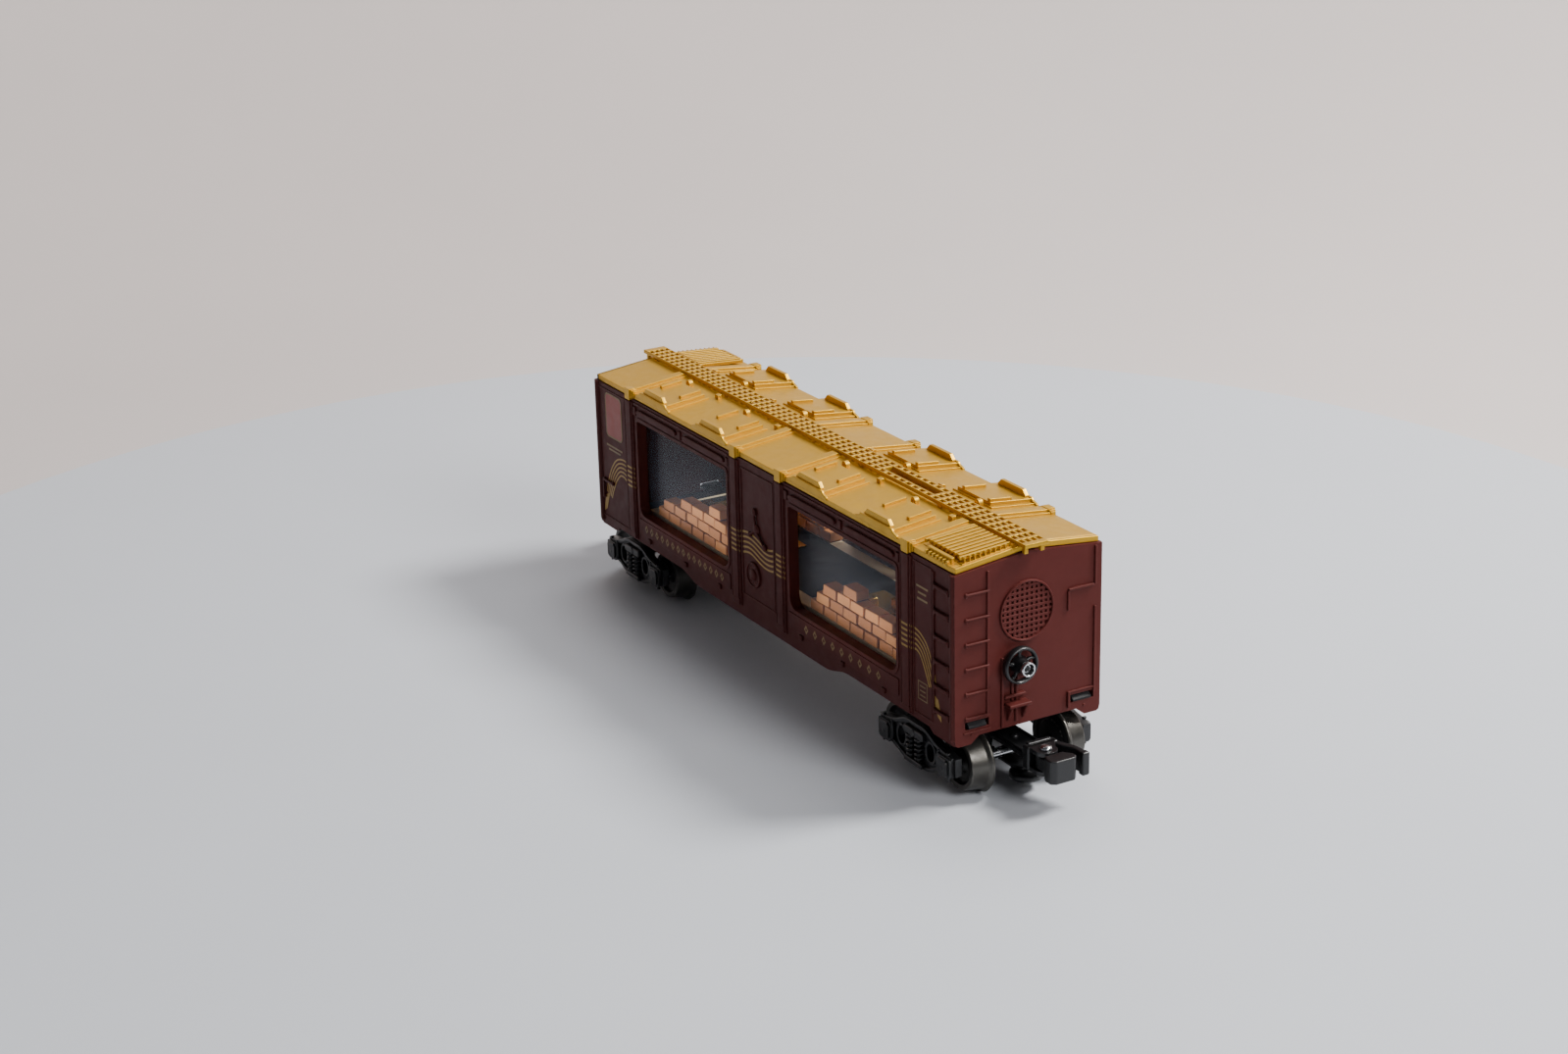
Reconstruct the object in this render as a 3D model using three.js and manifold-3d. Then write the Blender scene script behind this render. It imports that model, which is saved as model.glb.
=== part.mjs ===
// A toy box car for three-rail O gauge track: a bank car with windows, a coin slot and a bullion load.
// Frame: millimetres, +Z up, +X towards the brake-wheel end, wheel flanges standing on Z = 0.
import * as THREE from 'three';
import Module from 'manifold-3d';
import { mergeVertices } from 'three/addons/utils/BufferGeometryUtils.js';

const wasm = await Module();
wasm.setup();

// ---------------------------------------------------------------- driving dimensions
const GAP = 0.3; // between pieces that only touch
const BODY_LENGTH = 236.6;
const BODY_WIDTH = 54;
const TAB_BOTTOM = 19.5; // corner tabs of the shell, the lowest edge of the body ends
const SIDE_SILL = 21.1; // lower edge of a side over the trucks
const END_SILL = 21.9; // lower edge of an end between its tabs
const WALL_TOP = 74.2;
const WALL = 2;
const PANEL_INSET = 1; // side panels lie behind the pilasters and corner posts

const PILASTER_X = [15, 91.5];
const PILASTER_WIDTH = 6.5;
const WINDOW_X = 53.2;
const WINDOW_WIDTH = 65;
const WINDOW_BOTTOM = 32;
const WINDOW_TOP = 67;
const WINDOW_RADIUS = 4;
const WINDOW_DEPTH = 3.4; // from the panel face to the end of the jamb

const ROOF_LENGTH = 235;
const ROOF_WIDTH = 51.2;
const ROOF_THICKNESS = 1.8;
const ROOF_RISE = 2.9;
const HATCH_OFFSET = 20.6;
const HATCH_HEIGHT = 1.3; // of the slab above the roof
const HATCH_INNER = 9.9; // the slab stops this far from the ridge
const LEDGE_TOP = 78.2; // of the hatch's fascia at the eave
const HATCH_BAR_TOP = 80.1;
const WALK_LENGTH = 244;
const WALK_WIDTH = 8.4;
const WALK_THICKNESS = 1.3;
const SLOT_X = 54.6;
const SLOT_LENGTH = 29.7;
const SLOT_WIDTH = 3;

const FLOOR_BOTTOM = 22;
const FLOOR_TOP = 24;
const TRAY_TOP = 31.6;
const BRICK_LENGTH = 8.4;
const BRICK_HEIGHT = 3.8;

const TRUCK_X = 94.5;
const WHEELBASE = 33;
const FLANGE_RADIUS = 10.2;
const TREAD_RADIUS = 8.9;
const WHEEL_BACK = 13.4; // back faces of a pair stand this far from the track centre
const FLANGE_THICKNESS = 1.5;
const WHEEL_WIDTH = 7.2;
const AXLE_RADIUS = 1.5;
const FRAME_INNER = 22.3;
const FRAME_OUTER = 25;
const KINGPIN_RADIUS = 2;

// ---------------------------------------------------------------- colours and finishes
const FINISH = {
  maroon: { color: 0x5c3532, roughness: 0.5, metalness: 0 },
  gold: { color: 0xc49a4a, roughness: 0.42, metalness: 0.25 },
  clear: { color: 0xdfe6ea, roughness: 0.08, metalness: 0 },
  cream: { color: 0xd9c79a, roughness: 0.5, metalness: 0 },
  brick: { color: 0xb07a58, roughness: 0.55, metalness: 0 },
  bullion: { color: 0xd0a85a, roughness: 0.25, metalness: 0.8 },
  black: { color: 0x17171a, roughness: 0.4, metalness: 0.1 },
  castBlack: { color: 0x1d1e20, roughness: 0.5, metalness: 0.4 },
  wheelSteel: { color: 0x55565a, roughness: 0.4, metalness: 0.7 },
  steel: { color: 0xc8c9cc, roughness: 0.25, metalness: 1 },
};

const model = new THREE.Group();

function addPiece(parent, name, geometry, finish) {
  const mesh = new THREE.Mesh(geometry, new THREE.MeshStandardMaterial(FINISH[finish]));
  mesh.name = name;
  parent.add(mesh);
  return mesh;
}

// ---------------------------------------------------------------- geometry helpers
const AXIS_X = new THREE.Vector3(1, 0, 0);
const AXIS_Y = new THREE.Vector3(0, 1, 0);
const AXIS_Z = new THREE.Vector3(0, 0, 1);

function toSolid(geometry) {
  const bare = geometry.clone();
  bare.deleteAttribute('normal');
  bare.deleteAttribute('uv');
  const merged = mergeVertices(bare, 1e-4);
  const mesh = new wasm.Mesh({
    numProp: 3,
    vertProperties: new Float32Array(merged.attributes.position.array),
    triVerts: new Uint32Array(merged.index.array),
  });
  return new wasm.Manifold(mesh);
}

function toGeometry(solid) {
  const mesh = solid.getMesh();
  const geometry = new THREE.BufferGeometry();
  geometry.setAttribute('position', new THREE.BufferAttribute(new Float32Array(mesh.vertProperties), 3));
  geometry.setIndex(new THREE.BufferAttribute(new Uint32Array(mesh.triVerts), 1));
  geometry.computeVertexNormals();
  return geometry;
}

function join(pieces) {
  const [first, ...rest] = pieces.map(toSolid);
  return toGeometry(rest.reduce((sum, piece) => sum.add(piece), first));
}

function cut(geometry, tools) {
  return toGeometry(tools.map(toSolid).reduce((rest, tool) => rest.subtract(tool), toSolid(geometry)));
}

// A box from its lowest and highest corners
function block(x0, x1, y0, y1, z0, z1) {
  const geometry = new THREE.BoxGeometry(x1 - x0, y1 - y0, z1 - z0);
  return geometry.translate((x0 + x1) / 2, (y0 + y1) / 2, (z0 + z1) / 2);
}

function extrude(shape, depth, curveSegments = 4) {
  return new THREE.ExtrudeGeometry(shape, { depth, bevelEnabled: false, curveSegments });
}

// An outline in (x, z) made into a plate between y0 and y1
function sidePlate(shape, y0, y1, curveSegments) {
  const basis = new THREE.Matrix4().makeBasis(AXIS_X, AXIS_Z, AXIS_Y.clone().negate());
  return extrude(shape, y1 - y0, curveSegments).applyMatrix4(basis).translate(0, y1, 0);
}

// An outline in (y, z) made into a plate between x0 and x1
function endPlate(shape, x0, x1, curveSegments) {
  const basis = new THREE.Matrix4().makeBasis(AXIS_Y, AXIS_Z, AXIS_X);
  return extrude(shape, x1 - x0, curveSegments).applyMatrix4(basis).translate(x0, 0, 0);
}

// An outline in (x, y) made into a plate between z0 and z1
function levelPlate(shape, z0, z1, curveSegments) {
  return extrude(shape, z1 - z0, curveSegments).translate(0, 0, z0);
}

function outline(points) {
  return new THREE.Shape(points.map(([u, v]) => new THREE.Vector2(u, v)));
}

function roundedRectangle(u0, u1, v0, v1, lower, upper) {
  const shape = new THREE.Shape();
  shape.moveTo(u0 + lower, v0);
  shape.lineTo(u1 - lower, v0);
  shape.absarc(u1 - lower, v0 + lower, lower, -Math.PI / 2, 0);
  shape.absarc(u1 - upper, v1 - upper, upper, 0, Math.PI / 2);
  shape.absarc(u0 + upper, v1 - upper, upper, Math.PI / 2, Math.PI);
  shape.absarc(u0 + lower, v0 + lower, lower, Math.PI, Math.PI * 1.5);
  return shape;
}

// A turned piece: profile of [radius, height], turned about Z, then laid along another axis
function turned(profile, segments, axis = AXIS_Z) {
  const points = profile.map(([radius, height]) => new THREE.Vector2(radius, height));
  const geometry = new THREE.LatheGeometry(points, segments);
  const turn = new THREE.Quaternion().setFromUnitVectors(AXIS_Y, axis);
  return geometry.applyQuaternion(turn);
}

function rod(radius, start, end, segments, axis) {
  return turned([[0, start], [radius, start], [radius, end], [0, end]], segments, axis);
}

function halfTurn(geometry) {
  return geometry.clone().rotateZ(Math.PI);
}

function withHalfTurns(pieces) {
  return [...pieces, ...pieces.map(halfTurn)];
}

// ---------------------------------------------------------------- body shell
const halfLength = BODY_LENGTH / 2;
const halfWidth = BODY_WIDTH / 2;
const panelFace = halfWidth - PANEL_INSET;
const panelBack = panelFace - WALL;

// The lower edge of a side: deep between the trucks and raised over them
function sideOutline() {
  const lowerSill = 18.3;
  const half = [
    [halfLength - 1, WALL_TOP],
    [halfLength - 1, END_SILL],
    [halfLength - WALL - GAP, END_SILL],
    [halfLength - WALL - GAP, SIDE_SILL],
    [57, SIDE_SILL],
    [52, SIDE_SILL - 0.8],
    [47, lowerSill + 0.5],
    [42, lowerSill],
  ];
  const mirrored = half.map(([x, z]) => [-x, z]).reverse();
  return outline([...half, ...mirrored]);
}

function windowOutline(x, grow) {
  const half = WINDOW_WIDTH / 2 + grow;
  const radius = WINDOW_RADIUS + grow;
  return roundedRectangle(x - half, x + half, WINDOW_BOTTOM - grow, WINDOW_TOP + grow, radius, 1 + grow);
}

function windowJamb(x) {
  const jambWall = 1.2;
  const shape = windowOutline(x, jambWall);
  shape.holes.push(windowOutline(x, 0));
  return sidePlate(shape, -panelFace, -panelFace + WINDOW_DEPTH);
}

function pilaster(x) {
  const half = PILASTER_WIDTH / 2;
  return block(x - half, x + half, -halfWidth, -panelFace + 0.5, TAB_BOTTOM + 2.2, WALL_TOP - 0.9);
}

function sideLadder(x) {
  const pieces = [];
  for (let rung = 0; rung < 6; rung += 1) {
    const z = TAB_BOTTOM + 8 + rung * 8;
    pieces.push(block(x - 4, x + 4, -halfWidth, -panelFace + 0.5, z, z + 1));
  }
  pieces.push(block(x - 4.6, x - 3.6, -halfWidth + 0.3, -panelFace + 0.5, TAB_BOTTOM + 7, WALL_TOP - 2));
  return pieces;
}

function grabIrons(x) {
  const level = block(x - 4, x + 4, -halfWidth, -panelFace + 0.5, TAB_BOTTOM + 17.5, TAB_BOTTOM + 18.5);
  const upright = block(x - 4, x - 3, -halfWidth, -panelFace + 0.5, TAB_BOTTOM + 11, TAB_BOTTOM + 18);
  return [level, upright];
}

// The vault door in the middle of a side: lever, boss and dial
function vaultDoor() {
  const face = -panelFace;
  const leverTop = rod(1.3, 0, 1.4, 10, AXIS_Y).translate(-1.6, face - 0.9, 58);
  const leverFoot = rod(1.1, 0, 1.4, 10, AXIS_Y).translate(5, face - 0.9, 47.6);
  const boss = rod(1.8, 0, 1.6, 12, AXIS_Y).translate(-0.4, face - 0.9, 52.4);
  const upper = block(-1.6, -0.6, face - 0.6, face + 0.5, 52, 58);
  const lower = block(-0.5, 0.5, face - 0.5, face + 0.5, 0, 7.4).translate(0, 0, -7.4);
  lower.translate(0, -face, 0).rotateY(-0.83).translate(-0.4, face, 52.4);
  const dial = turned([[0, 0], [4.6, 0], [4.6, -0.7], [2.4, -0.7], [2, -1], [0, -1]].reverse(), 16, AXIS_Y);
  return [leverTop, leverFoot, boss, upper, lower, dial.translate(-3.2, face + 0.2, 35.6)];
}

function sideWall() {
  const wall = sideOutline();
  [-WINDOW_X, WINDOW_X].forEach((x) => wall.holes.push(windowOutline(x, 0)));
  const boardHalf = WINDOW_WIDTH / 2 + 2;
  const pieces = [sidePlate(wall, -panelFace, -panelBack)];
  [-WINDOW_X, WINDOW_X].forEach((x) => {
    pieces.push(windowJamb(x));
    pieces.push(block(x - boardHalf, x + boardHalf, -panelFace - 0.5, -panelFace + 0.5, 23.2, 30.6));
    pieces.push(block(x - boardHalf, x + boardHalf, -panelFace - 0.5, -panelFace + 0.5, 69.4, 71.4));
  });
  PILASTER_X.forEach((x) => pieces.push(pilaster(x), pilaster(-x)));
  pieces.push(...sideLadder(halfLength - 7.2), ...grabIrons(-halfLength + 8), ...vaultDoor());
  return pieces;
}

const endEdge = panelFace + 0.4;

function endOutline() {
  return outline([
    [-endEdge, WALL_TOP],
    [-endEdge, END_SILL],
    [endEdge, END_SILL],
    [endEdge, WALL_TOP],
    [0, WALL_TOP + ROOF_RISE - 0.1],
  ]);
}

function endSlot(y0, y1) {
  return block(halfLength - 4, halfLength + 2, y0, y1, TAB_BOTTOM + 4.6, TAB_BOTTOM + 8);
}

function endLadder() {
  const pieces = [block(halfLength - 0.5, halfLength + 0.7, -15.3, -14.3, TAB_BOTTOM + 8.4, WALL_TOP)];
  for (let rung = 0; rung < 6; rung += 1) {
    const z = TAB_BOTTOM + 8.2 + rung * 7.9;
    pieces.push(block(halfLength - 0.5, halfLength + 0.9, -22.6, -14.3, z, z + 0.9));
  }
  return pieces;
}

function endVent() {
  return rod(9.7, -0.5, 0.8, 24, AXIS_X).translate(halfLength, -1, TAB_BOTTOM + 38.9);
}

function endFittings() {
  const face = halfLength;
  return [
    block(face - 0.5, face + 0.7, 23.4, 24.3, TAB_BOTTOM + 7, TAB_BOTTOM + 35),
    block(face - 0.5, face + 0.7, 23.4, 24.3, TAB_BOTTOM + 42, WALL_TOP),
    block(face - 0.5, face + 0.9, 14, 23.3, TAB_BOTTOM + 41.6, TAB_BOTTOM + 42.5),
    block(face - 0.5, face + 0.7, 13.7, 14.5, TAB_BOTTOM + 35.5, TAB_BOTTOM + 41.8),
    block(face - 0.5, face + 0.9, 14, 15, TAB_BOTTOM + 3.6, TAB_BOTTOM + 9),
  ];
}

// Brake staff guides and the brakeman's step, on the brake-wheel end only
function brakeFittings() {
  const face = halfLength;
  const staffY = -5;
  return [
    block(face - 0.5, face + 0.8, staffY - 5.1, staffY - 4.3, TAB_BOTTOM + 3, TAB_BOTTOM + 25.5),
    block(face - 0.5, face + 0.8, staffY - 1.6, staffY - 0.8, TAB_BOTTOM + 11, TAB_BOTTOM + 17),
    block(face - 0.5, face + 3.6, staffY - 3.9, staffY + 4, TAB_BOTTOM + 9.6, TAB_BOTTOM + 10.8),
    block(face - 0.5, face + 1.5, staffY - 4.2, staffY + 3.3, TAB_BOTTOM + 12.2, TAB_BOTTOM + 13.2),
    block(face - 0.5, face + 2.2, staffY - 3, staffY - 2, TAB_BOTTOM + 4.5, TAB_BOTTOM + 9.8),
    block(face - 0.5, face + 2.2, staffY + 2.4, staffY + 3.4, TAB_BOTTOM + 4.5, TAB_BOTTOM + 9.8),
  ];
}

function cornerPosts() {
  const radius = 1.6;
  const post = (y) => rod(radius, TAB_BOTTOM + 2.4, WALL_TOP, 8).translate(halfLength - radius, y, 0);
  return [post(halfWidth - radius), post(radius - halfWidth)];
}

function endWall() {
  const wall = endPlate(endOutline(), halfLength - WALL, halfLength);
  return [wall, ...endLadder(), endVent(), ...endFittings(), ...cornerPosts()];
}

const brakeY = -4.6;
const brakeZ = TAB_BOTTOM + 22.8;

function bodyShell() {
  const solid = join([...withHalfTurns([...sideWall(), ...endWall()]), ...brakeFittings()]);
  const slots = [endSlot(-22.8, -14.2), endSlot(15.2, 24)];
  const stemHole = rod(1.4, halfLength - 4, halfLength + 2, 12, AXIS_X).translate(0, brakeY, brakeZ);
  return cut(solid, [...withHalfTurns(slots), stemHole]);
}

addPiece(model, 'body_shell', bodyShell(), 'maroon');

// The tabs at the lower corners: a strip under the side and a strip under the end
function sideTab() {
  const top = SIDE_SILL - GAP;
  const slant = 1.9;
  const outer = halfLength - 12.3;
  const inner = halfLength - WALL - GAP;
  const shape = outline([[outer - slant, top], [outer, TAB_BOTTOM], [inner, TAB_BOTTOM], [inner, top]]);
  return sidePlate(shape, -panelFace, -panelBack);
}

function endTab() {
  const top = END_SILL - GAP;
  const tabInner = 18;
  const chamfer = 2.7;
  const round = 1;
  const shape = outline([
    [-tabInner, top],
    [-endEdge, top],
    [-endEdge, TAB_BOTTOM + 2 * round],
    [-endEdge + round, TAB_BOTTOM],
    [-tabInner - chamfer, TAB_BOTTOM],
  ]);
  return endPlate(shape, halfLength - WALL, halfLength);
}

const mirrorX = (geometry) => toGeometry(toSolid(geometry).mirror([1, 0, 0]));

addPiece(model, 'side_tab_near_right', sideTab(), 'maroon');
addPiece(model, 'side_tab_far_left', halfTurn(sideTab()), 'maroon');
addPiece(model, 'side_tab_near_left', mirrorX(sideTab()), 'maroon');
addPiece(model, 'side_tab_far_right', halfTurn(mirrorX(sideTab())), 'maroon');
addPiece(model, 'end_tab_near_right', endTab(), 'maroon');
addPiece(model, 'end_tab_far_left', halfTurn(endTab()), 'maroon');
addPiece(model, 'end_tab_near_left', mirrorX(endTab()), 'maroon');
addPiece(model, 'end_tab_far_right', halfTurn(mirrorX(endTab())), 'maroon');

// ---------------------------------------------------------------- windows
function windowPane(x) {
  const shape = windowOutline(x, 1);
  return sidePlate(shape, -panelFace + WINDOW_DEPTH + GAP, -panelFace + WINDOW_DEPTH + GAP + 1);
}

const PANES = [['left', -1], ['right', 1]];
PANES.forEach(([place, sign]) => {
  addPiece(model, `window_pane_near_${place}`, windowPane(sign * WINDOW_X), 'clear');
  addPiece(model, `window_pane_far_${place}`, halfTurn(windowPane(sign * WINDOW_X)), 'clear');
});

// ---------------------------------------------------------------- roof
const eaveBottom = WALL_TOP + 0.2;
const eaveTop = eaveBottom + ROOF_THICKNESS;
const ridge = eaveTop + ROOF_RISE;
const roofHalf = ROOF_WIDTH / 2;
const roofAt = (y) => ridge - (ROOF_RISE * Math.abs(y)) / roofHalf;

function roofSkin() {
  const shape = outline([
    [-roofHalf, eaveBottom],
    [0, eaveBottom + ROOF_RISE],
    [roofHalf, eaveBottom],
    [roofHalf, eaveTop],
    [0, ridge],
    [-roofHalf, eaveTop],
  ]);
  return endPlate(shape, -ROOF_LENGTH / 2, ROOF_LENGTH / 2);
}

// A strip lying on the near slope of the roof, raised by height over the plan outline
function onSlope(plan, height) {
  const slope = Math.atan(ROOF_RISE / roofHalf);
  const foot = 0.4;
  const plate = levelPlate(outline(plan), -foot, height);
  return plate.rotateX(slope).translate(0, 0, ridge);
}

const strip = (x0, x1, y0, y1) => [[x0, y0], [x1, y0], [x1, y1], [x0, y1]];

// A rib over each pilaster, ending in a cap that drops over the eave
function roofRib(x) {
  const capFace = halfWidth - 0.2;
  const capBack = panelFace + 0.15;
  return [
    onSlope(strip(x - 1.6, x + 1.6, -roofHalf, -4.6), 0.9),
    block(x - 3.4, x + 3.4, -capFace, -roofHalf + 1.2, eaveBottom, eaveTop + 0.5),
    block(x - 3.4, x + 3.4, -capFace, -capBack, WALL_TOP - 0.7, eaveBottom + 0.4),
  ];
}

// A hatch: a slab with a skirt, a fascia at the eave with a tall bar behind it, two strips, an eye and a lug
function roofHatch(x) {
  const wide = 12;
  const fascia = outline([
    [x - wide, eaveTop - 0.5],
    [x + wide, eaveTop - 0.5],
    [x + wide, eaveTop + 0.7],
    [x + 8.8, LEDGE_TOP],
    [x - 8.8, LEDGE_TOP],
    [x - wide, eaveTop + 0.7],
  ]);
  const bar = outline([
    [x - 7.6, LEDGE_TOP - 0.8],
    [x + 7.6, LEDGE_TOP - 0.8],
    [x + 5.9, HATCH_BAR_TOP],
    [x - 5.9, HATCH_BAR_TOP],
  ]);
  return [
    onSlope(strip(x - 9.9, x + 9.9, -roofHalf, -HATCH_INNER + 0.3), 0.25),
    onSlope(strip(x - 9, x + 9, -roofHalf, -HATCH_INNER), HATCH_HEIGHT),
    sidePlate(fascia, -panelFace, -panelFace + 1),
    sidePlate(bar, -panelFace + 0.8, -panelFace + 2.1),
    onSlope(strip(x - 8.8, x - 7.6, -18, -10.1), HATCH_HEIGHT + 0.75),
    onSlope(strip(x + 5.6, x + 6.8, -18, -10.1), HATCH_HEIGHT + 0.75),
    onSlope(strip(x - 7.6, x - 4.8, -8.4, -6.8), 1.9),
    onSlope(strip(x + 11.9, x + 14.1, -7.4, -5.8), 1.5),
  ];
}

function brakePlatform() {
  const base = onSlope(strip(96, 116.5, -22.4, -5), 0.9);
  const bar = onSlope(strip(100.5, 113, -24.4, -22.8), 1.8);
  return [base, bar];
}

function locatingRib() {
  return block(-108, 108, -panelBack + 0.4, -panelBack + 1.6, WALL_TOP - 2.4, eaveBottom + 0.4);
}

function coinSlotTool(width) {
  return block(SLOT_X - SLOT_LENGTH / 2, SLOT_X + SLOT_LENGTH / 2, -width / 2, width / 2, 60, 100);
}

function roof() {
  const half = [
    ...[...PILASTER_X, ...PILASTER_X.map((x) => -x)].flatMap(roofRib),
    ...[-WINDOW_X, WINDOW_X].flatMap((x) => [x - HATCH_OFFSET, x + HATCH_OFFSET]).flatMap(roofHatch),
    ...brakePlatform(),
    locatingRib(),
  ];
  return cut(join([roofSkin(), ...withHalfTurns(half)]), [coinSlotTool(SLOT_WIDTH - 0.4)]);
}

addPiece(model, 'roof', roof(), 'gold');

// ---------------------------------------------------------------- roofwalk
const walkBottom = ridge + 0.2;

function roofwalk() {
  const plank = block(-WALK_LENGTH / 2, WALK_LENGTH / 2, -WALK_WIDTH / 2, WALK_WIDTH / 2, walkBottom,
    walkBottom + WALK_THICKNESS);
  return cut(plank, [coinSlotTool(SLOT_WIDTH)]);
}

addPiece(model, 'roofwalk', roofwalk(), 'gold');

// ---------------------------------------------------------------- floor, display tray and load
const trayHalf = 20.6;

function floorPan() {
  const half = halfLength - WALL - 0.4;
  const deep = panelBack - 0.4;
  const tab = (y0, y1) => [
    block(half - 3, half, y0, y1, FLOOR_TOP - 0.5, TAB_BOTTOM + 7.6),
    block(half - 1, halfLength + 0.3, y0, y1, TAB_BOTTOM + 5.2, TAB_BOTTOM + 7.6)
  ];
  const pan = join([
    block(-half, half, -deep, deep, FLOOR_BOTTOM, FLOOR_TOP),
    block(-52, 52, -9, 9, FLOOR_BOTTOM - 2.6, FLOOR_BOTTOM + 0.5),
    ...withHalfTurns([...tab(-21.6, -15.2), ...tab(16.2, 23)]),
    ...[-TRUCK_X, TRUCK_X].map((x) => rod(6, FLOOR_BOTTOM - 0.8, FLOOR_BOTTOM + 0.5, 16).translate(x, 0, 0)),
  ]);
  const pinHoles = [-TRUCK_X, TRUCK_X].map((x) => rod(KINGPIN_RADIUS + GAP, 10, 40, 16).translate(x, 0, 0));
  const screwHoles = [-30, 30].map((x) => rod(1.7, 10, 40, 12).translate(x, 0, 0));
  return cut(pan, [...pinHoles, ...screwHoles]);
}

function displayTray() {
  const half = 90;
  const tray = join([
    block(-half, half, -trayHalf, trayHalf, TRAY_TOP - 1.8, TRAY_TOP),
    block(-half, half, -trayHalf, -trayHalf + 1.6, FLOOR_TOP + 0.2, TRAY_TOP - 1),
    block(-half, half, trayHalf - 1.6, trayHalf, FLOOR_TOP + 0.2, TRAY_TOP - 1),
    ...[-30, 30].map((x) => rod(3.4, FLOOR_TOP + 0.2, TRAY_TOP - 1, 12).translate(x, 0, 0)),
  ]);
  return cut(tray, [-30, 30].map((x) => rod(1.3, 20, TRAY_TOP - 2, 12).translate(x, 0, 0)));
}

addPiece(model, 'floor_pan', floorPan(), 'black');
addPiece(model, 'display_tray', displayTray(), 'cream');

['left', 'right'].forEach((place, index) => {
  const x = index === 0 ? -30 : 30;
  const bottom = FLOOR_BOTTOM - 2.6 - 0.2;
  const profile = [[0, bottom - 1.2], [2, bottom - 1.2], [2.8, bottom - 0.4], [2.8, bottom], [1.05, bottom],
    [1.05, TRAY_TOP - 2.6], [0, TRAY_TOP - 2.6]];
  addPiece(model, `tray_screw_${place}`, turned(profile, 12).translate(x, 0, 0), 'steel');
});

// Heaps of bars behind each window: courses counted per column, from one end to the other
const HEAPS = {
  left: [1, 2, 4, 3, 4, 4, 3],
  right: [1, 3, 4, 4, 3, 3, 2],
};

function bullionHeap(x, courses) {
  const thickness = 5.4;
  const outer = -panelFace + WINDOW_DEPTH + GAP + 1 + 0.4;
  const start = x - (courses.length * BRICK_LENGTH) / 2;
  const columns = courses.map((count, index) => block(start + index * BRICK_LENGTH - 0.05,
    start + (index + 1) * BRICK_LENGTH + 0.05, outer, outer + thickness, TRAY_TOP + 0.1,
    TRAY_TOP + 0.1 + count * BRICK_HEIGHT));
  return join(columns);
}

Object.entries(HEAPS).forEach(([place, courses], index) => {
  const x = (index === 0 ? -1 : 1) * WINDOW_X;
  addPiece(model, `bullion_heap_near_${place}`, bullionHeap(x, courses), 'brick');
  addPiece(model, `bullion_heap_far_${place}`, halfTurn(bullionHeap(x, courses)), 'brick');
});

// Loose gold bars lying along the middle of the tray, moulded as one strip per window bay
function barStrip(x) {
  const bars = [-22, -11, 0, 11, 22].map((step, index) => {
    const y = index % 2 === 0 ? -3.2 : 3.2;
    return block(x + step - 4.6, x + step + 4.6, y - 2, y + 2, TRAY_TOP + 0.5, TRAY_TOP + 3.4);
  });
  return join([block(x - 28, x + 28, -7, 7, TRAY_TOP + 0.1, TRAY_TOP + 0.9), ...bars]);
}

addPiece(model, 'gold_bars_left', barStrip(-WINDOW_X), 'bullion');
addPiece(model, 'gold_bars_right', barStrip(WINDOW_X), 'bullion');

// ---------------------------------------------------------------- hand brake
function brakeWheel() {
  const rim = turned([[4.6, 0], [6, 0], [6, 2.6], [4.6, 2.6], [4.6, 0]], 20, AXIS_X);
  const hub = turned([[1.15, 0], [3, 0], [2.7, 4.4], [1.15, 4.4], [1.15, 0]], 12, AXIS_X);
  const spokes = [0, 1, 2, 3, 4].map((index) => {
    const spoke = block(0.4, 1.8, -0.6, 0.6, 2, 5);
    return spoke.rotateX((index * Math.PI * 2) / 5);
  });
  return join([rim, hub, ...spokes]);
}

function brakeStem() {
  const profile = [[0, -5.6], [1.7, -5.6], [1.7, -4.6], [0.85, -4.2], [0.85, 4.7], [2.2, 4.7], [2.2, 5.9],
    [1.3, 5.9], [1.3, 5.1], [0, 5.1]];
  return turned(profile, 12, AXIS_X);
}

const brakePlace = new THREE.Group();
brakePlace.position.set(halfLength + 1.1, brakeY, brakeZ);
model.add(brakePlace);
addPiece(brakePlace, 'brake_wheel', brakeWheel(), 'castBlack');
addPiece(brakePlace, 'brake_wheel_rivet', brakeStem(), 'steel');

// ---------------------------------------------------------------- trucks and couplers
const axleZ = FLANGE_RADIUS;
const tongueBottom = 12.7;
const tongueTop = 14.3;
const HEAD_X = 28.5; // back of the coupler head, from the truck centre
const PIN_X = 35;
const PIN_Y = -1.4;
const FLAP_X = 8.6;
const FLAP_Z = 7;
const DISC_X = 23;

function sideFrame() {
  const reach = 21.3;
  const shape = outline([
    [-reach, 8], [-reach, 14.6], [-12, 16], [-5, 18.6], [5, 18.6], [12, 16], [reach, 14.6], [reach, 8],
    [12.4, 7], [5.5, 4.6], [-5.5, 4.6], [-12.4, 7],
  ]);
  [-1, 1].forEach((side) => {
    const hole = new THREE.Path();
    hole.absellipse(side * 8, 11.6, 2, 2.8, 0, Math.PI * 2);
    shape.holes.push(hole);
  });
  const plate = sidePlate(shape, -FRAME_OUTER, -FRAME_INNER, 4);
  const boxes = [-1, 1].map((side) => {
    const x = (side * WHEELBASE) / 2;
    return block(x - 3.6, x + 3.6, -FRAME_OUTER - 1.6, -FRAME_INNER - 0.5, 7.2, 14);
  });
  const springs = [-1, 1].map((side) => rod(1.7, 6.4, 14.4, 8).translate(side * 2.1, -FRAME_OUTER - 0.2, 0));
  const solid = join([plate, ...boxes, ...springs, block(-5.4, 5.4, -FRAME_OUTER - 1.4, -FRAME_INNER - 0.5, 14.2, 16.6)]);
  const bores = [-1, 1].map((side) => rod(AXLE_RADIUS + 0.35, -24.6, -20, 12, AXIS_Y)
    .translate((side * WHEELBASE) / 2, 0, axleZ));
  return cut(solid, bores);
}

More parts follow.
